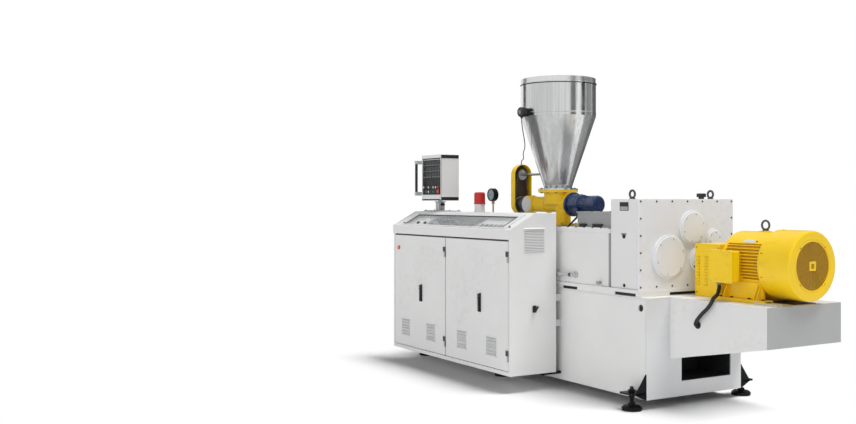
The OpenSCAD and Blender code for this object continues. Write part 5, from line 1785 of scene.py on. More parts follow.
@dataclass
class Cabinet:
    """The operator cabinet: body, two doors, sloped console and what is fitted to them."""

    x0: float = CABINET_X0
    x1: float = CABINET_X1
    front: float = -939.0
    back: float = CABINET_BACK
    bottom: float = 130.0
    lip: float = 1134.0
    sheet: float = 3.0
    strip: float = 23.0
    stop: float = -909.0
    post: float = -1827.0
    door_z: Pair = (165.0, 1121.0)
    door_t: float = 25.0
    hinge_z: tuple[float, ...] = (277.0, 1007.0)
    hinge_y: float = -945.0
    vent_z: Pair = (248.0, 405.0)
    vent_w: float = 160.0
    handle_z: Pair = (567.5, 714.5)
    left_vents: Pair = (-2488.0, -2061.0)
    left_handle: float = -2213.0
    right_vents: Pair = (-1578.0, -1160.0)
    right_handle: float = -1312.0
    bracket_x: tuple[float, ...] = (-960.0, -1810.5, -2649.0)
    bar_z: Pair = (496.0, 690.0)
    plate_z: Pair = (240.0, 1080.0)
    duct_z: tuple[float, ...] = (300.0, 500.0, 690.0, 880.0, 1020.0)
    rail_z: tuple[float, ...] = (400.0, 595.0, 785.0, 950.0)
    side_vent_y: Pair = (-814.0, -626.0)
    side_vent_z: Pair = (1037.0, 1212.0)
    isolator_z: float = 616.0
    button: Pair = (-2609.0, 1011.0)

    def make(self) -> None:
        """Builds the body, doors, handles, inside and fittings."""
        self.body()
        self.side_vent()
        self.inside()
        self.door("left", Body.LEFT_DOOR, self.x0 + 28, self.post - 5, self.post - 2, self.left_vents, self.left_handle)
        self.door("right", Body.RIGHT_DOOR, self.post + 9, self.x1 - 28, self.x1 - 25.5, self.right_vents,
                  self.right_handle)
        self.brackets()
        self.isolator()

    def body(self) -> None:
        """The folded shell with its floor, plinth, door stop and fixed hinge halves."""
        stop, lip, post = self.stop, self.lip, self.post
        t, s = self.sheet, self.strip
        x0, x1, front, back, inner = self.x0, self.x1, self.front, self.back, stop + self.sheet
        shell = [(x0, front), (x0 + s, front), (x0 + s, inner), (x0 + t, inner), (x0 + t, back - t), (x1 - t, back - t),
                 (x1 - t, inner), (x1 - s, inner), (x1 - s, front), (x1, front), (x1, back), (x0, back)]
        body = Piece("folded_cabinet_shell", WHITE)
        body.prism(Z, self.bottom, lip, rounded(shell, 2.5), bevel=1.2)
        floor = self.bottom + 30
        body.bar(x0 + t, x1 - t, front + 1, back - t, floor - t, floor, 1)
        body.bar(x0 + s, x1 - s, front, front + t, self.bottom, floor, 1)
        doorways = [rect(x0 + 40, post - 30, floor + 24, lip - 24, 4),
                    rect(post + 30, x1 - 40, floor + 24, lip - 24, 4)]
        body.prism(Y, stop, inner, rect(x0 + s - 2, x1 - s + 2, floor - 1, lip, 1), doorways, 1)
        body.dress(RUBBER)
        for a, b in ((x0 + 40, post - 30), (post + 30, x1 - 40)):
            seal = rect(a - 8, b + 8, floor + 16, lip - 16, 6)
            body.prism(Y, stop - 3, stop, seal, [rect(a - 1, b + 1, floor + 23, lip - 23, 5)], 1)
        # Black strip under the lip, behind the door tops: painted shade.
        body.dress(SHADE_BLACK).bar(x0 + s, x1 - s, front + 6, stop + 1, lip - 9, lip - 1, 0.5)
        body.dress(ZINC)
        for x in (post - 2, x1 - 25.5):
            for z in self.hinge_z:
                body.rod(Z, z - 40, z, x, self.hinge_y, 6, 1, 20)
                body.rod(Z, z, z + 36, x, self.hinge_y, 3.5, 0.8, 16)
                body.bar(x - 2, x, self.hinge_y, stop, z - 40, z, 0.5)
        body.build("cabinet_body")

    def side_vent(self) -> None:
        """The hooded vent on the drive-end side: slats in a pressed frame under a lip."""
        vent = Piece("hooded_side_vent", SHADED_OFF_WHITE)
        x, (y0, y1), (z0, z1) = self.x1, self.side_vent_y, self.side_vent_z
        outer, inner = rect(y0, y1, z0, z1, 6), rect(y0 + 7, y1 - 7, z0 + 7, z1 - 6, 3)
        vent.prism(X, x - 0.5, x + 3, outer, [inner], 1.2)
        vent.dress(WHITE)
        for k in range(14):
            z = z0 + 9 + k * 11.6
            slat = [(x - 0.4, z), (x + 5, z - 1), (x + 5, z + 1.5), (x - 0.4, z + 8)]
            vent.prism(Y, y0 + 8, y1 - 8, rounded(slat, 0.6, 1), bevel=0.8)
        lip = rounded([(x, z1 - 4), (x + 9, z1 - 2), (x + 9, z1 + 2), (x, z1 + 10)], 1.2)
        vent.prism(Y, y0 - 3, y1 + 3, lip, bevel=1.5)
        # Grey backing behind the slats: painted shade inside the vent.
        vent.dress(PAINTED_SHADE_GREY).prism(X, x - 0.4, x + 0.6, inner, bevel=0.1)
        vent.build(slot="cabinet_body")

    def inside(self) -> None:
        """The mounting plates with switchgear in rows between cable ducts."""
        y, (low, high) = self.back - self.sheet - 30, self.plate_z
        plates = Piece("mounting_plates_on_spacers", GALVANISED)
        spans = ((self.x0 + 80, self.post - 40), (self.post + 40, self.x1 - 80))
        for a, b in spans:
            plates.prism(Y, y - 3, y, rect(a, b, low, high, 4), bevel=0.8)
            for x in (a + 30, b - 30):
                for z in (low + 30, high - 30):
                    plates.rod(Y, y - 1, self.back - self.sheet, x, z, 8, 1, 20)
                    plates.hex_bolt(Y, (x, y - 3, z), 7, -1)
        plates.build("cabinet_mounting_plate")
        gear = Piece("switchgear_rows")
        front = y - 3
        for a, b in spans:
            for z in self.duct_z:
                gear.dress(GREY_PLASTIC).bar(a + 30, b - 30, front - 55, front - 4, z - 22, z + 22, 2)
                gear.bar(a + 28, b - 28, front - 60, front - 54, z - 24, z + 24, 1.5)
            for row, z in enumerate(self.rail_z):
                gear.dress(ZINC).bar(a + 50, b - 50, front - 8, front, z - 17, z + 17, 1)
                x = a + 60
                while x < b - 110:
                    wide = DICE.choice((18, 27, 45, 45, 70))
                    tall = DICE.choice((38, 44)) if row < 3 else 30
                    deep = DICE.choice((52, 68, 84))
                    gear.dress(DICE.choice((PALE_PLASTIC, GREY_PLASTIC, BLACK_PLASTIC)))
                    gear.bar(x, x + wide, front - deep, front - 7, z - tall, z + tall, 2)
                    gear.dress(BLACK_PLASTIC)
                    gear.bar(x + wide / 2 - 5, x + wide / 2 + 5, front - deep - 6, front - deep + 2, z - 9, z + 9, 1)
                    x += wide + DICE.choice((2, 3, 12))
        gear.build(slot="cabinet_mounting_plate")

    def vents(self, piece: Piece, middle: float) -> list[Outline]:
        """Fine tilted slats over the slots of one vent, with the hood lip below them.

        Args:
            piece: what they are added to.
            middle: the vent's middle along the door.

        Returns:
            The slots' outlines, for the skin.
        """
        front = self.front
        z0, z1 = self.vent_z
        x0, x1 = middle - self.vent_w / 2, middle + self.vent_w / 2
        piece.dress(WHITE)
        rim, hole = rect(x0 + 2, x1 - 2, z0 + 2, z1 - 2, 6), rect(x0 + 10, x1 - 10, z0 + 9, z1 - 9, 4)
        piece.prism(Y, front - 2, front + 0.5, rim, [hole], 1)
        # Slats in the darker copy of the white: painted shade in the vents.
        piece.dress(SHADED_OFF_WHITE)
        slats = 14
        pitch = (z1 - z0 - 20) / slats
        for k in range(slats):
            z = z0 + 11 + k * pitch
            slat = [(front + 0.5, z), (front - 4.5, z + 1), (front - 4.5, z + 3), (front + 0.5, z + pitch - 2)]
            piece.prism(X, x0 + 11, x1 - 11, rounded(slat, 0.6, 1), bevel=0.7)
        piece.dress(WHITE)
        lip = [(front, z0 + 1), (front - 7, z0 + 1), (front - 8, z0 + 4), (front, z0 + 10)]
        piece.prism(X, x0 + 2, x1 - 2, rounded(lip, 1, 1), bevel=1)
        return [rect(x0 + 14, x1 - 14, z0 + 12 + k * 24, z0 + 22 + k * 24, 3) for k in range(6)]

    def door(self, side: str, body: Body, x0: float, x1: float, axis_x: float, vents: Pair, handle_x: float) -> None:
        """Builds a door leaf with vents, hinge halves and its handle.

        Args:
            side: left or right.
            body: the body that it rides on.
            x0: its free edge.
            x1: its hinged edge.
            axis_x: the hinge axis.
            vents: middles of its two vents.
            handle_x: the handle's middle.
        """
        front = self.front
        z0, z1 = self.door_z
        leaf = Piece(f"{side}_door_leaf")
        slots = [slot for middle in vents for slot in self.vents(leaf, middle)]
        leaf.dress(WHITE)
        outline = [(x0, z0), (x1, z0)]
        for hinge in self.hinge_z:
            outline += [(x1, hinge - 46), (x1 - 10, hinge - 46), (x1 - 10, hinge - 1), (x1, hinge - 1)]
        outline += [(x1, z1), (x0, z1)]
        leaf.prism(Y, front, front + 3, rounded(outline, 2.5), slots, 1.2)
        inner = rect(x0 + 22, x1 - 22, z0 + 22, z1 - 22, 4)
        leaf.prism(Y, front + 2.5, front + self.door_t, rounded(outline, 2.5), [inner], 1.2)
        leaf.dress(RUBBER)
        for a, b in ((z0 + 8, z0 + 16), (z1 - 16, z1 - 8)):
            leaf.bar(x0 + 8, x1 - 16, front + self.door_t - 1, front + self.door_t + 2.5, a, b, 1)
        leaf.dress(FORGED)
        for z in self.hinge_z:
            knuckle = rounded([(3.8, z + 1), (6, z + 1), (6, z + 40), (3.8, z + 40)], 0.8)
            leaf.lathe(Z, (axis_x, self.hinge_y, 0), knuckle, 24)
            leaf.bar(axis_x - 26, axis_x - 5, self.hinge_y - 1, front + 0.5, z + 1, z + 40, 1)
            for dz in (11, 30):
                leaf.screw(Y, (axis_x - 17, self.hinge_y - 1, z + dz), 3.4, -1)
        leaf.build(f"{side}_door", body=body)
        self.handle(side, body, handle_x)

    def handle(self, side: str, body: Body, x: float) -> None:
        """The swing handle: base with its key cap, pivot block and lever.

        Args:
            side: the door's side, left or right.
            body: the door's body.
            x: the handle's middle.
        """
        z0, z1 = self.handle_z
        y = self.front
        handle = Piece(f"{side}_door_swing_handle", BLACK_PLASTIC)
        handle.prism(Y, y - 7, y, rect(x - 13, x + 13, z0, z1, 10, 4), bevel=2.5)
        handle.prism(Y, y - 23, y - 6, rect(x - 10.5, x + 10.5, z1 - 44, z1 - 5, 6, 3), bevel=3.5, steps=3)
        handle.prism(Y, y - 21, y - 11, rect(x - 9, x + 9, z0 + 4, z1 - 42, 6, 3), bevel=3.5, steps=3)
        handle.dress(ZINC).rod(Y, y - 24, y - 21, x, z1 - 24, 6, 0.8, 24)
        handle.dress(BLACK_PLASTIC).rod(Y, y - 9, y - 6, x, z0 + 14, 5, 1, 16)
        handle.build(f"{side}_door_handle", body=body)

    def brackets(self) -> None:
        """Square bars from the base frame and black arms under the floor."""
        bars = Piece("cabinet_support_bars")
        for x in self.bracket_x:
            # Bars in the darker copy of the white: painted shade in the gap behind the cabinet.
            bars.dress(SHADED_OFF_WHITE)
            for z in self.bar_z:
                bars.bar(x - 25, x + 25, self.back, -FRAME_SIDE, z - 25, z + 25, 4)
            bars.dress(BLACK_PAINT).bar(x - 30, x + 30, self.back - 110, -FRAME_SIDE, self.bottom - 18, self.bottom, 3)
            bars.dress(DARK_BOLT)
            for y in (self.back - 90, self.back - 30):
                bars.hex_bolt(Z, (x, y, self.bottom - 18), 8, -1)
        bars.build("cabinet_brackets")

    def isolator(self) -> None:
        """The rotary isolator on the drive-end side, its lever turned to the upper right."""
        y, z, x = self.back - 205, self.isolator_z, self.x1
        switch = Piece("rotary_isolator", BLACK_PLASTIC)
        switch.prism(X, x, x + 10, rect(y - 16, y + 16, z - 26, z + 26, 5), bevel=2)
        switch.rod(X, x + 9, x + 24, y, z, 13, 2, 32)
        a = radians(52)
        lever = [(y + u * cos(a) - v * sin(a), z + u * sin(a) + v * cos(a))
                 for u, v in ((-14, -6), (27, -5), (27, 5), (-14, 6))]
        switch.prism(X, x + 23, x + 34, rounded(lever, 3), bevel=2)
        switch.build("isolator_switch")
        button = Piece("red_ringed_button", RED_BUTTON)
        bx, bz = self.button
        ring = rounded([(9, -5), (9, -12), (17, -10), (17, 1), (9, 1)], 1.5)
        button.lathe(Y, (bx, self.front, bz), ring, 40)
        button.dress(PALE_PLASTIC).rod(Y, self.front - 10, self.front + 1, bx, bz, 9.5, 2, 36)
        button.build(slot="left_door", body=Body.LEFT_DOOR)


@dataclass
class Console:
    """The sloped desk on the cabinet with a glazed well of instruments."""

    x0: float = CABINET_X0
    x1: float = CABINET_X1
    low: float = 1134.0
    lip: Pair = (-947.0, 1201.0)
    ridge: Pair = (-708.0, CABINET_TOP)
    back: float = CABINET_BACK
    sheet: float = 3.0
    pane_x: Pair = (-2600.0, -1000.0)
    pane_a: Pair = (22.0, 248.6)
    glass_x: Pair = (-2546.0, -1048.0)
    glass_a: Pair = (38.0, 204.0)
    knob_x: Pair = (-2339.0, -2225.0)
    screw_x: Pair = (-2574.0, -968.0)
    plate_x: Pair = (-1472.0, -1358.0)
    plate_z: Pair = (1148.0, 1186.0)
    trays: tuple[Pair, Pair] = ((20.0, 330.0), (470.0, 40.0))
    switches: float = 462.0
    keys: float = 400.0
    meters: float = 780.0
    lamps: float = 800.0
    stop: float = 1000.0
    sockets: float = 430.0

    def make(self) -> None:
        """Builds the folded sheets, the glazed well and the small fittings."""
        self.shell()
        self.well()
        self.window()
        self.fittings()

    def plane(self) -> Matrix:
        """The desk's plane: X along the desk, Y up the slope from the lip and Z out of it.

        Returns:
            The matrix that lays a drawing on the desk.
        """
        run, rise = self.ridge[0] - self.lip[0], self.ridge[1] - self.lip[1]
        lean = atan2(rise, run)
        return Matrix.Translation((0, self.lip[0], self.lip[1])) @ Matrix.Rotation(lean, 4, "X")

    @property
    def slope(self) -> float:
        """Length of the slope."""
        return hypot(self.ridge[0] - self.lip[0], self.ridge[1] - self.lip[1])

    def shell(self) -> None:
        """Front lip, top, back and floor in one folded sheet, two end plates and the desk's sheet."""
        low, back, x0, x1 = self.low, self.back, self.x0, self.x1
        t = self.sheet
        (y0, z0), (y1, z1) = self.lip, self.ridge
        fold = [(y0, low), (back, low), (back, z1), (y1, z1), (y1, z1 - t), (back - t, z1 - t),
                (back - t, low + t), (y0 + t, low + t), (y0 + t, z0), (y0, z0)]
        desk = Piece("folded_desk_sheets", WHITE)
        desk.prism(X, x0 + 1, x1 - 1, rounded(fold, 2), bevel=0.5)
        end = [(y0, low), (back, low), (back, z1), (y1, z1), (y0, z0)]
        for x in (x0, x1 - 4):
            desk.prism(X, x, x + 4, rounded(end, 4, 3), bevel=1.5)
        desk.lean(self.plane())
        (a0, a1), (p0, p1) = self.pane_a, self.pane_x
        desk.prism(Z, -t, 0, rect(x0 + 1, x1 - 1, 0, self.slope, 1), [rect(p0 + 12, p1 - 12, a0 + 12, a1 - 12, 4)], 0.8)
        desk.lean(None)
        desk.build("console_top")
        edges = Piece("raised_desk_edges", WHITE)
        edges.lean(self.plane())
        for x in (x0 + 2, x1 - 12):
            edges.bar(x, x + 10, 2, self.slope - 2, -1, 5, 2)
        edges.bar(x0 + 2, x1 - 2, 1, 8, -1, 4, 1.5)
        edges.lean(None)
        edges.build(slot="console_top")

    def well(self) -> None:
        """The tray under the glass: pale end panels, grey middle and small dark instruments."""
        (a0, a1), (p0, p1) = self.pane_a, self.pane_x
        tray = Piece("instrument_tray", GREY_PLASTIC)
        tray.lean(self.plane())
        tray.bar(p0 + 2, p1 - 2, a0 + 2, a1 - 2, -34, -31, 1)
        tray.dress(PALE_GREY)
        for a, b in ((a0 + 2, a0 + 8), (a1 - 8, a1 - 2)):
            tray.bar(p0 + 2, p1 - 2, a, b, -31, -2.5, 0.8)
        for x in (p0 + 2, p1 - 8):
            tray.bar(x, x + 6, a0 + 8, a1 - 8, -31, -2.5, 0.8)
        left, right = self.trays
        tray.dress(PALE_PLASTIC).bar(p0 + left[0], p0 + left[1], a0 + 16, a1 - 16, -31, -16, 2)
        tray.bar(p1 - right[0], p1 - right[1], a0 + 16, a1 - 16, -31, -18, 2)
        tray.lean(None)
        tray.build(slot="console_top")
        items = Piece("desk_instruments")
        items.lean(self.plane())
        items.dress(BLACK_PLASTIC)
        for k in range(9):
            x = p0 + self.switches + k * 30
            items.bar(x, x + 18, 132, 156, -31, -14, 2)
        for k in range(5):
            x = p0 + self.keys + k * 64
            items.bar(x, x + 40, 62, 96, -31, -18, 2)
        items.dress(METER_FACE)
        for k in range(3):
            x = p0 + self.meters + k * 92
            items.bar(x, x + 72, 96, 168, -31, -16, 3)
        items.dress(GREEN_BUTTON)
        for k in range(4):
            items.rod(Z, -31, -14, p0 + self.lamps + k * 40, 62, 9, 2, 20)
        items.dress(RED_BUTTON).rod(Z, -31, -10, p0 + self.stop, 62, 11, 3, 20)
        items.dress(METER_RIM)
        for k in range(6):
            x = p1 - self.sockets + k * 62
            items.bar(x, x + 40, 70, 110, -19, -13, 2)
        items.lean(None)
        items.build(slot="console_top")

    def window(self) -> None:
        """The pane in its pale frame, with a black gasket along three sides."""
        (a0, a1), (p0, p1), (b0, b1), (q0, q1) = self.pane_a, self.pane_x, self.glass_a, self.glass_x
        pane = Piece("glazed_desk_window", SHADED_OFF_WHITE)
        pane.lean(self.plane())
        pane.prism(Z, 0.1, 4.5, rect(p0, p1, a0, a1, 10, 4), [rect(q0, q1, b0, b1, 6, 3)], 1.5)
        pane.dress(RUBBER).bar(q0, q0 + 8, b0, b1, 0.1, 6.5, 1.5)
        pane.bar(q1 - 8, q1, b0, b1, 0.1, 6.5, 1.5)
        pane.bar(q0, q1, b1 - 10, b1, 0.1, 6.8, 1.5)
        pane.dress(PANE).prism(Z, 1, 4, rect(q0 + 2, q1 - 2, b0 - 2, b1 - 2, 4), bevel=0.5)
        pane.lean(None)
        pane.build("console_window")

    def fittings(self) -> None:
        """Knobs at the lower left, corner screws and the blank white plate on the lip."""
        small = Piece("desk_knobs_and_screws")
        small.lean(self.plane())
        small.dress(BLACK_PLASTIC)
        for x in self.knob_x:
            small.lathe(Z, (x, 58, 4), contour([(0, 0), (15, 0), (13, 9), (11, 11), (0, 11)], 1.5), 24)
        for x in self.screw_x:
            small.screw(Z, (x, 50, 4), 8)
        small.lean(None)
        small.dress(WHITE).prism(Y, self.lip[0] - 1.6, self.lip[0], rect(*self.plate_x, *self.plate_z, 3), bevel=0.7)
        small.dress(ZINC)
        for x in (self.plate_x[0] + 8, self.plate_x[1] - 8):
            small.screw(Y, (x, self.lip[0] - 1.4, sum(self.plate_z) / 2), 2.6, -1)
        small.build(slot="console_top")


@dataclass
class OperatorBox:
    """The operator box on its swivel neck, with the control face and the grab handle."""

    x0: float = -2615.5
    x1: float = -2286.5
    y0: float = -704.5
    y1: float = -519.5
    z0: float = 1423.0
    z1: float = 1825.0
    neck: Pair = (-2451.0, -612.0)
    deck: float = CABINET_TOP

    def make(self) -> None:
        """Builds neck, box, face, side panels and handle."""
        self.neck_parts()
        self.box()
        self.face()
        self.side_panels()
        self.handle()

    def neck_parts(self) -> None:
        """Base plate, column, swivel disc and the black clamp with its lever."""
        deck, z0 = self.deck, self.z0
        x, y = self.neck
        neck = Piece("swivel_neck_with_clamp", PALE_GREY)
        neck.bar(x - 189, x + 250, y - 60, y + 60, deck, deck + 10, 3)
        neck.bar(x - 30, x + 30, y - 30, y + 30, deck + 10, z0 - 14, 5)
        neck.rod(Z, z0 - 14, z0 - 5, x, y, 50, 2, 48)
        neck.rod(Z, z0 - 5, z0 + 14, x, y, 20, 1, 32)
        neck.dress(BLACK_PLASTIC).rod(X, x + 30, x + 74, y, z0 - 34, 7, 2, 20)
        neck.rod(X, x + 29, x + 39, y, z0 - 34, 13, 2, 24)
        neck.dress(DARK_BOLT)
        for dx in (-174, 234):
            for dy in (-46, 46):
                neck.screw(Z, (x + dx, y + dy, deck + 10), 7)
        neck.build("operator_neck")

    def box(self) -> None:
        """The box with its recessed face and sides."""
        box = Piece("operator_box_shell", WHITE)
        x0, x1, y0, y1, z0, z1 = self.x0, self.x1, self.y0, self.y1, self.z0, self.z1
        socket = disc(self.neck[0], self.neck[1], 20.3, 40)
        box.prism(Z, z0, z0 + 16, rect(x0, x1, y0, y1, 4), [socket], 2.5)
        box.bar(x0 + 1, x1 - 1, y0 + 8, y1, z0 + 14, z1 - 1, 2.5)
        box.prism(Y, y0, y0 + 9, rect(x0, x1, z0 + 1, z1, 4), [rect(x0 + 8, x1 - 8, z0 + 52, z1 - 28, 3)], 2)
        for x in (x0, x1 - 4):
            box.prism(X, x, x + 4, rect(y0 + 2, y1, z0 + 2, z1, 4), [rect(y0 + 20, y1 - 8, z0 + 38, z1 - 38, 3)], 1.5)
        box.prism(Z, z1 - 5, z1, rect(x0, x1, y0, y1, 5), bevel=2.5)
        box.dress(ZINC)
        for x in (x0 + 10, x1 - 10):
            for z in (z0 + 26, z1 - 24):
                box.screw(Y, (x, y0, z), 3.2, -1)
        box.build("operator_box", body=Body.OPERATOR_PANEL)

    def face(self) -> None:
        """The control face: rows of dark meters above, then lamps, small buttons and the stop button."""
        y = self.y0 + 8
        x0, x1 = self.x0 + 9, self.x1 - 9
        face = Piece("control_face", BLACK_PLASTIC)
        face.prism(Y, y - 2.5, y + 0.5, rect(x0, x1, self.z0 + 53, self.z1 - 29, 2), bevel=0.8)
        face.dress(PALE_GREY).prism(Y, y - 3.4, y - 2, rect(x0 + 6, x1 - 6, self.z1 - 44, self.z1 - 38, 1), bevel=0.4)
        wide, tall = 44.0, 44.0
        for row in range(3):
            for column in range(6):
                ax = x0 + 10 + column * 49.5
                az = self.z1 - 98 - row * 52
                face.dress(METER_RIM).prism(Y, y - 6.5, y - 2, rect(ax, ax + wide, az, az + tall, 2.5), bevel=1.2)
                face.dress(METER_FACE)
                face.prism(Y, y - 7.2, y - 6, rect(ax + 5, ax + wide - 5, az + 14, az + tall - 5, 1.5), bevel=0.4)
                face.dress(PALE_PLASTIC)
                for k in range(3):
                    face.rod(Y, y - 7.4, y - 6, ax + 10 + k * 11, az + 8, 2.2, 0.4, 10)
        self.buttons(face, y, x0)
        face.build(slot="operator_box", body=Body.OPERATOR_PANEL)

    def buttons(self, face: Piece, y: float, x0: float) -> None:
        """Rows of small buttons and lamps under the meters, and the red mushroom.

        Args:
            face: what they are added to.
            y: the face's surface.
            x0: its left edge.
        """
        rows = ((self.z0 + 118, (PALE_PLASTIC, METER_RIM, PALE_PLASTIC, METER_RIM, PALE_PLASTIC, WHITE_LAMP,
                                 RED_BUTTON)),
                (self.z0 + 78, (METER_RIM, GREEN_BUTTON, PALE_PLASTIC, METER_RIM, GREEN_BUTTON, METER_RIM)))
        for z, finishes in rows:
            for k, finish in enumerate(finishes):
                x = x0 + 22 + k * 41
                face.dress(METER_RIM).rod(Y, y - 5.5, y - 2, x, z, 12.5, 1.2, 28)
                face.dress(finish).rod(Y, y - 9, y - 5, x, z, 9.5, 1.8, 28)
        face.dress(METER_RIM).rod(Y, y - 6, y - 2, x0 + 278, self.z0 + 80, 19, 1.5, 36)
        face.dress(RED_BUTTON)
        cap = contour([(0, 0), (9, 0), (9, -4), (17, -5), (17, -11), (13, -14), (0, -15)], 2)
        face.lathe(Y, (x0 + 278, y - 5, self.z0 + 80), cap, 36)

    def side_panels(self) -> None:
        """The recessed side panels with a black bar above and below."""
        panels = Piece("recessed_side_panels")
        for x, out in ((self.x1 - 4, 1), (self.x0 + 4, -1)):
            panels.dress(PALE_GREY)
            panels.prism(X, x, x + out * 1.2, rect(self.y0 + 21, self.y1 - 9, self.z0 + 39, self.z1 - 39, 2), bevel=0.4)
            panels.dress(BLACK_PLASTIC)
            for z in (self.z0 + 3, self.z1 - 33):
                panels.prism(X, x, x + out * 5.6, rect(self.y0 + 3, self.y1 - 3, z, z + 29, 4), bevel=1.2)
        panels.build(slot="operator_box", body=Body.OPERATOR_PANEL)

    def handle(self) -> None:
        """The black grab handle between two angled end brackets."""
        x, y, z = self.x0, self.y0, (self.z0 + self.z1) / 2
        grip = Piece("side_grab_handle", PALE_GREY)
        for side in (-1, 1):
            at = z + side * 140
            arm = [(x, y), (x, y + 24), (x - 34, y + 24), (x - 34, y - 58), (x - 6, y - 58), (x - 6, y)]
            grip.prism(Z, at - 16, at + 16, rounded(arm, 6, 3), bevel=3)
        grip.dress(BLACK_PLASTIC).rod(Z, z - 124, z + 124, x - 20, y - 45, 12, 1, 32)
        for k in range(5):
            grip.ring(Z, (x - 20, y - 45, z - 60 + k * 30), 11.6, 1.0, 32, 6)
        grip.build("operator_handle", body=Body.OPERATOR_PANEL)


@dataclass
class TopFittings:
    """The red beacon and the pressure gauge on the cabinet's flat top."""

    y: float = -612.0
    deck: float = CABINET_TOP
    beacon_x: float = -1816.0
    gauge_x: float = -1617.0
    gauge_z: float = 1471.0

    def make(self) -> None:
        """Builds the beacon and the gauge."""
        self.beacon()
        self.gauge()

    def beacon(self) -> None:
        """White base and red ribbed dome over an inner lamp."""
        lamp = Piece("red_beacon_on_white_base", PALE_PLASTIC)
        base = contour([(0, 0), (45, 0), (45, 8), (42, 12), (42, 58), (45, 62), (45, 66), (0, 66)], 2)
        lamp.lathe(Z, (self.beacon_x, self.y, self.deck), base, 48)
        lamp.dress(RED_LENS)
        dome: list[Pair] = [(0, 66), (48, 66), (48, 74), (46, 75)]
        for k in range(6):
            dome += [(46, 79 + k * 12), (44.6, 82 + k * 12), (46, 85 + k * 12)]
        dome += [(46, 151), (41, 160), (33, 165), (0, 165)]
        lamp.lathe(Z, (self.beacon_x, self.y, self.deck), contour(dome, 1.2), 56)
        lamp.build("beacon")

    def gauge(self) -> None:
        """Brass stem and connector, black case and the plain dial with its pointer."""
        x, y, z = self.gauge_x, self.y, self.gauge_z
        gauge = Piece("pressure_gauge_on_stem", BRASS)
        gauge.rod(Z, self.deck, z - 74, x, y, 6, 1, 20)
        gauge.lathe(Z, (x, y, z - 74), [(0, 0), (12, 0), (12, 2, 1), (12, 24, 1), (12, 26), (0, 26)], 6)
        gauge.dress(BLACK_PAINT)
        case = contour([(0, 22), (46, 22), (52, 16), (52, -22), (50, -26), (45, -26), (44, -19), (0, -19)], 2)
        gauge.lathe(Y, (x, y, z), case, 64)
        gauge.dress(DIAL).rod(Y, y - 19.8, y - 18.6, x, z, 44, 0.3, 56)
        gauge.dress(BLACK_PLASTIC)
        for k in range(11):
            a = radians(225 - 27 * k)
            inner = 31 if k % 5 == 0 else 34
            gauge.tube([(x + q * cos(a), y - 19.9, z + q * sin(a)) for q in (40, inner)], 0.8, 6)
        a = radians(200)
        gauge.tube([(x + q * cos(a), y - 21, z + q * sin(a)) for q in (-9, 34)], 1.1, 6)
        gauge.rod(Y, y - 22.5, y - 19.5, x, z, 4, 0.6, 20)
        gauge.build("pressure_gauge")


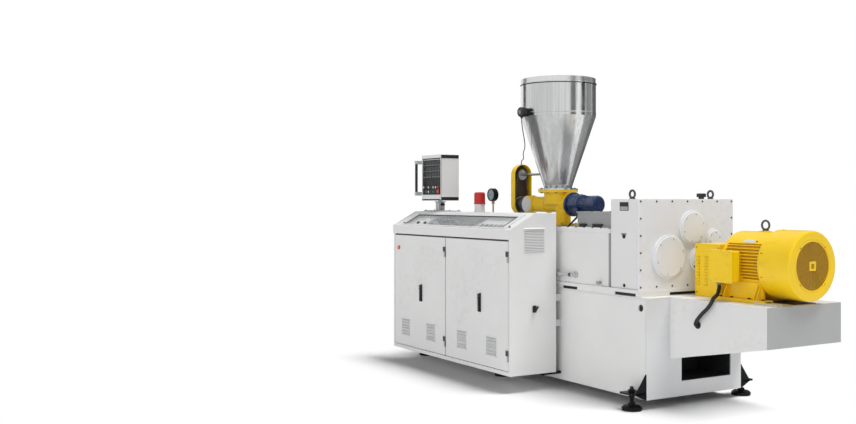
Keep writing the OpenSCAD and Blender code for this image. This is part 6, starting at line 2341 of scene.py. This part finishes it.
@dataclass
class Studio:
    """Camera, soft lights, pale floor and the dark screens that the polished hopper mirrors."""

    eye: Triple = (6.192, -4.8845, 1.420)
    ahead: Triple = (-0.8634, 0.5045, 0.0)
    lens: float = 41.05
    shift: float = -0.01285
    sky: float = 0.2
    overhead: float = 2.75
    front: float = 1.5
    floor_r: float = 60.0
    fade: Pair = (0.05, 0.45)
    hopper: Pair = (-0.32, 0.1825)
    clear_box: tuple[float, float, float, float] = (-0.242, -0.06, 1.475, 0.697)
    walls: tuple[Triple, ...] = ((0.0, 18.0, 0.2), (36.0, 51.0, 0.03), (53.0, 84.0, 0.3), (87.0, 142.0, 0.13),
                                 (-170.0, -152.0, 0.1))
    mats: tuple[Triple, ...] = ((-164.0, -110.0, 0.12), (52.0, 90.0, 0.25), (90.0, 142.0, 0.06))

    def make(self) -> None:
        """Sets up everything round the machine."""
        self.camera()
        self.world()
        self.lamps()
        self.floor()
        self.screens()
        bpy.context.scene.view_settings.view_transform = "Standard"

    def camera(self) -> None:
        """The camera at the photographer's place, level, with the photo's picture angle."""
        data = bpy.data.cameras.new("photo_camera")
        data.lens = self.lens
        data.sensor_width = 36.0
        data.shift_y = self.shift
        data.clip_end = 200.0
        camera = bpy.data.objects.new("photo_camera", data)
        camera.location = self.eye
        camera.rotation_euler = Vector(self.ahead).to_track_quat("-Z", "Y").to_euler()
        bpy.context.scene.collection.objects.link(camera)
        bpy.context.scene.camera = camera

    def world(self) -> None:
        """A white surround for the eye and for mirrors, and a softer one for the light that it gives."""
        world = bpy.data.worlds.new("white_surround")
        world.use_nodes = True
        web = Nodes(world.node_tree)
        seen = web.tree.nodes["Background"]
        seen.inputs["Color"].default_value = (1.0, 1.0, 1.0, 1.0)
        seen.inputs["Strength"].default_value = 1.0
        lit = web.add("Background", Color=(0.985, 0.993, 1.0, 1.0), Strength=self.sky)
        path = web.add("LightPath")
        total = path.outputs["Is Camera Ray"]
        for name in ("Is Glossy Ray", "Is Transmission Ray"):
            more = web.add("Math", "MAXIMUM")
            web.link(total, more.inputs[0])
            web.link(path.outputs[name], more.inputs[1])
            total = more.outputs["Value"]
        web.mix(total, lit, seen, "World Output")
        bpy.context.scene.world = world

    def lamps(self) -> None:
        """A broad light from above and a weaker, level one from the doors' side."""
        for name, strength, angle, aim in (("broad_top_light", self.overhead, 26.0, (-0.26, -0.25, -1.0)),
                                           ("soft_front_light", self.front, 60.0, (-0.35, 1.0, -0.06))):
            data = bpy.data.lights.new(name, "SUN")
            data.energy = strength
            data.angle = radians(angle)
            lamp = bpy.data.objects.new(name, data)
            lamp.visible_glossy = False
            lamp.rotation_euler = Vector(aim).to_track_quat("-Z", "Y").to_euler()
            bpy.context.scene.collection.objects.link(lamp)

    def floor(self) -> None:
        """A wide pale floor that keeps the shadow near the machine and fades to white far off."""
        mesh = bmesh.new()
        bmesh.ops.create_circle(mesh, cap_ends=True, segments=96, radius=self.floor_r)
        data = bpy.data.meshes.new("pale_floor")
        mesh.to_mesh(data)
        mesh.free()
        shader = Shader("pale_floor")
        tone = shader.ramp(shader.noise(0.8, 3.0), 0.3, 0.7)
        shader.colour(shader.blend(tone, (0.9, 0.9, 0.9), (0.92, 0.92, 0.92)))
        shader.fix(Roughness=0.9, Specular_IOR_Level=0.1)
        x, y, half_x, half_y = self.clear_box
        place = shader.place
        for kind, value in (("SUBTRACT", (x, y, 0.0)), ("ABSOLUTE", None), ("SUBTRACT", (half_x, half_y, 9.0)),
                            ("MAXIMUM", (0.0, 0.0, 0.0)), ("LENGTH", None)):
            step = shader.add("VectorMath", kind)
            shader.link(place, step.inputs[0])
            if value:
                step.inputs[1].default_value = value
            place = step.outputs["Value" if kind == "LENGTH" else "Vector"]
        far = shader.ramp(place, self.fade[0], self.fade[1])
        shader.mix(far, shader.main, shader.add("Emission", Color=(1.0, 1.0, 1.0, 1.0)), "Material Output")
        data.materials.append(shader.material)
        floor = bpy.data.objects.new("pale_floor", data)
        bpy.context.scene.collection.objects.link(floor)

    def screens(self) -> None:
        """Grey screens seen only by mirrors: curved walls round the hopper and mats on the floor."""
        for name, spans, inner, outer, low, high in (("wall", self.walls, 14.0, 14.05, 0.01, 9.0),
                                                     ("mat", self.mats, 1.0, 14.0, 0.004, 0.006)):
            for number, (start, end, level) in enumerate(spans):
                mesh = bmesh.new()
                rings = []
                for k in range(13):
                    a = radians(start + (end - start) * k / 12)
                    x, y = cos(a), sin(a)
                    rings.append([mesh.verts.new((self.hopper[0] + r * x, self.hopper[1] + r * y, z))
                                  for r, z in ((inner, low), (outer, low), (outer, high), (inner, high))])
                for a, b in zip(rings, rings[1:]):
                    for i in range(4):
                        mesh.faces.new([a[i], a[(i + 1) % 4], b[(i + 1) % 4], b[i]])
                mesh.faces.new(rings[0])
                mesh.faces.new(rings[-1])
                bmesh.ops.recalc_face_normals(mesh, faces=mesh.faces)
                data = bpy.data.meshes.new(f"grey_{name}_{number}")
                mesh.to_mesh(data)
                mesh.free()
                data.materials.append(self.grey(data.name, level))
                screen = bpy.data.objects.new(data.name, data)
                bpy.context.scene.collection.objects.link(screen)
                for kind in ("camera", "diffuse", "shadow", "transmission", "volume_scatter"):
                    setattr(screen, f"visible_{kind}", False)

    @staticmethod
    def grey(name: str, level: float) -> bpy.types.Material:
        """A screen's finish, which mirrors show at that level.

        Args:
            name: the finish's name.
            level: how bright it glows, 1 being white.

        Returns:
            The glowing finish.
        """
        shader = Shader(name)
        shader.fix(Emission_Strength=1.0, Roughness=1.0)
        shader.main.inputs["Base Color"].default_value = (0.0, 0.0, 0.0, 1.0)
        tone = shader.ramp(shader.noise(0.6, 2.0), 0.3, 0.7)
        shader.link(shader.blend(tone, (0.8 * level,) * 3, (1.2 * level,) * 3), shader.main.inputs["Emission Color"])
        return shader.material


def main() -> None:
    """Builds the studio and the whole extruder."""
    logging.basicConfig(level=logging.INFO, format="%(name)s: %(message)s")
    Studio().make()
    for part in (BaseFrame(), LevellingFeet(), Gearbox(), Coupling(), DriveMotor(), Barrel(), Feeder(), Hopper(),
                 Cabinet(), Console(), OperatorBox(), TopFittings()):
        LOG.info("building %s", type(part).__name__)
        part.make()


if __name__ == "__main__":
    main()
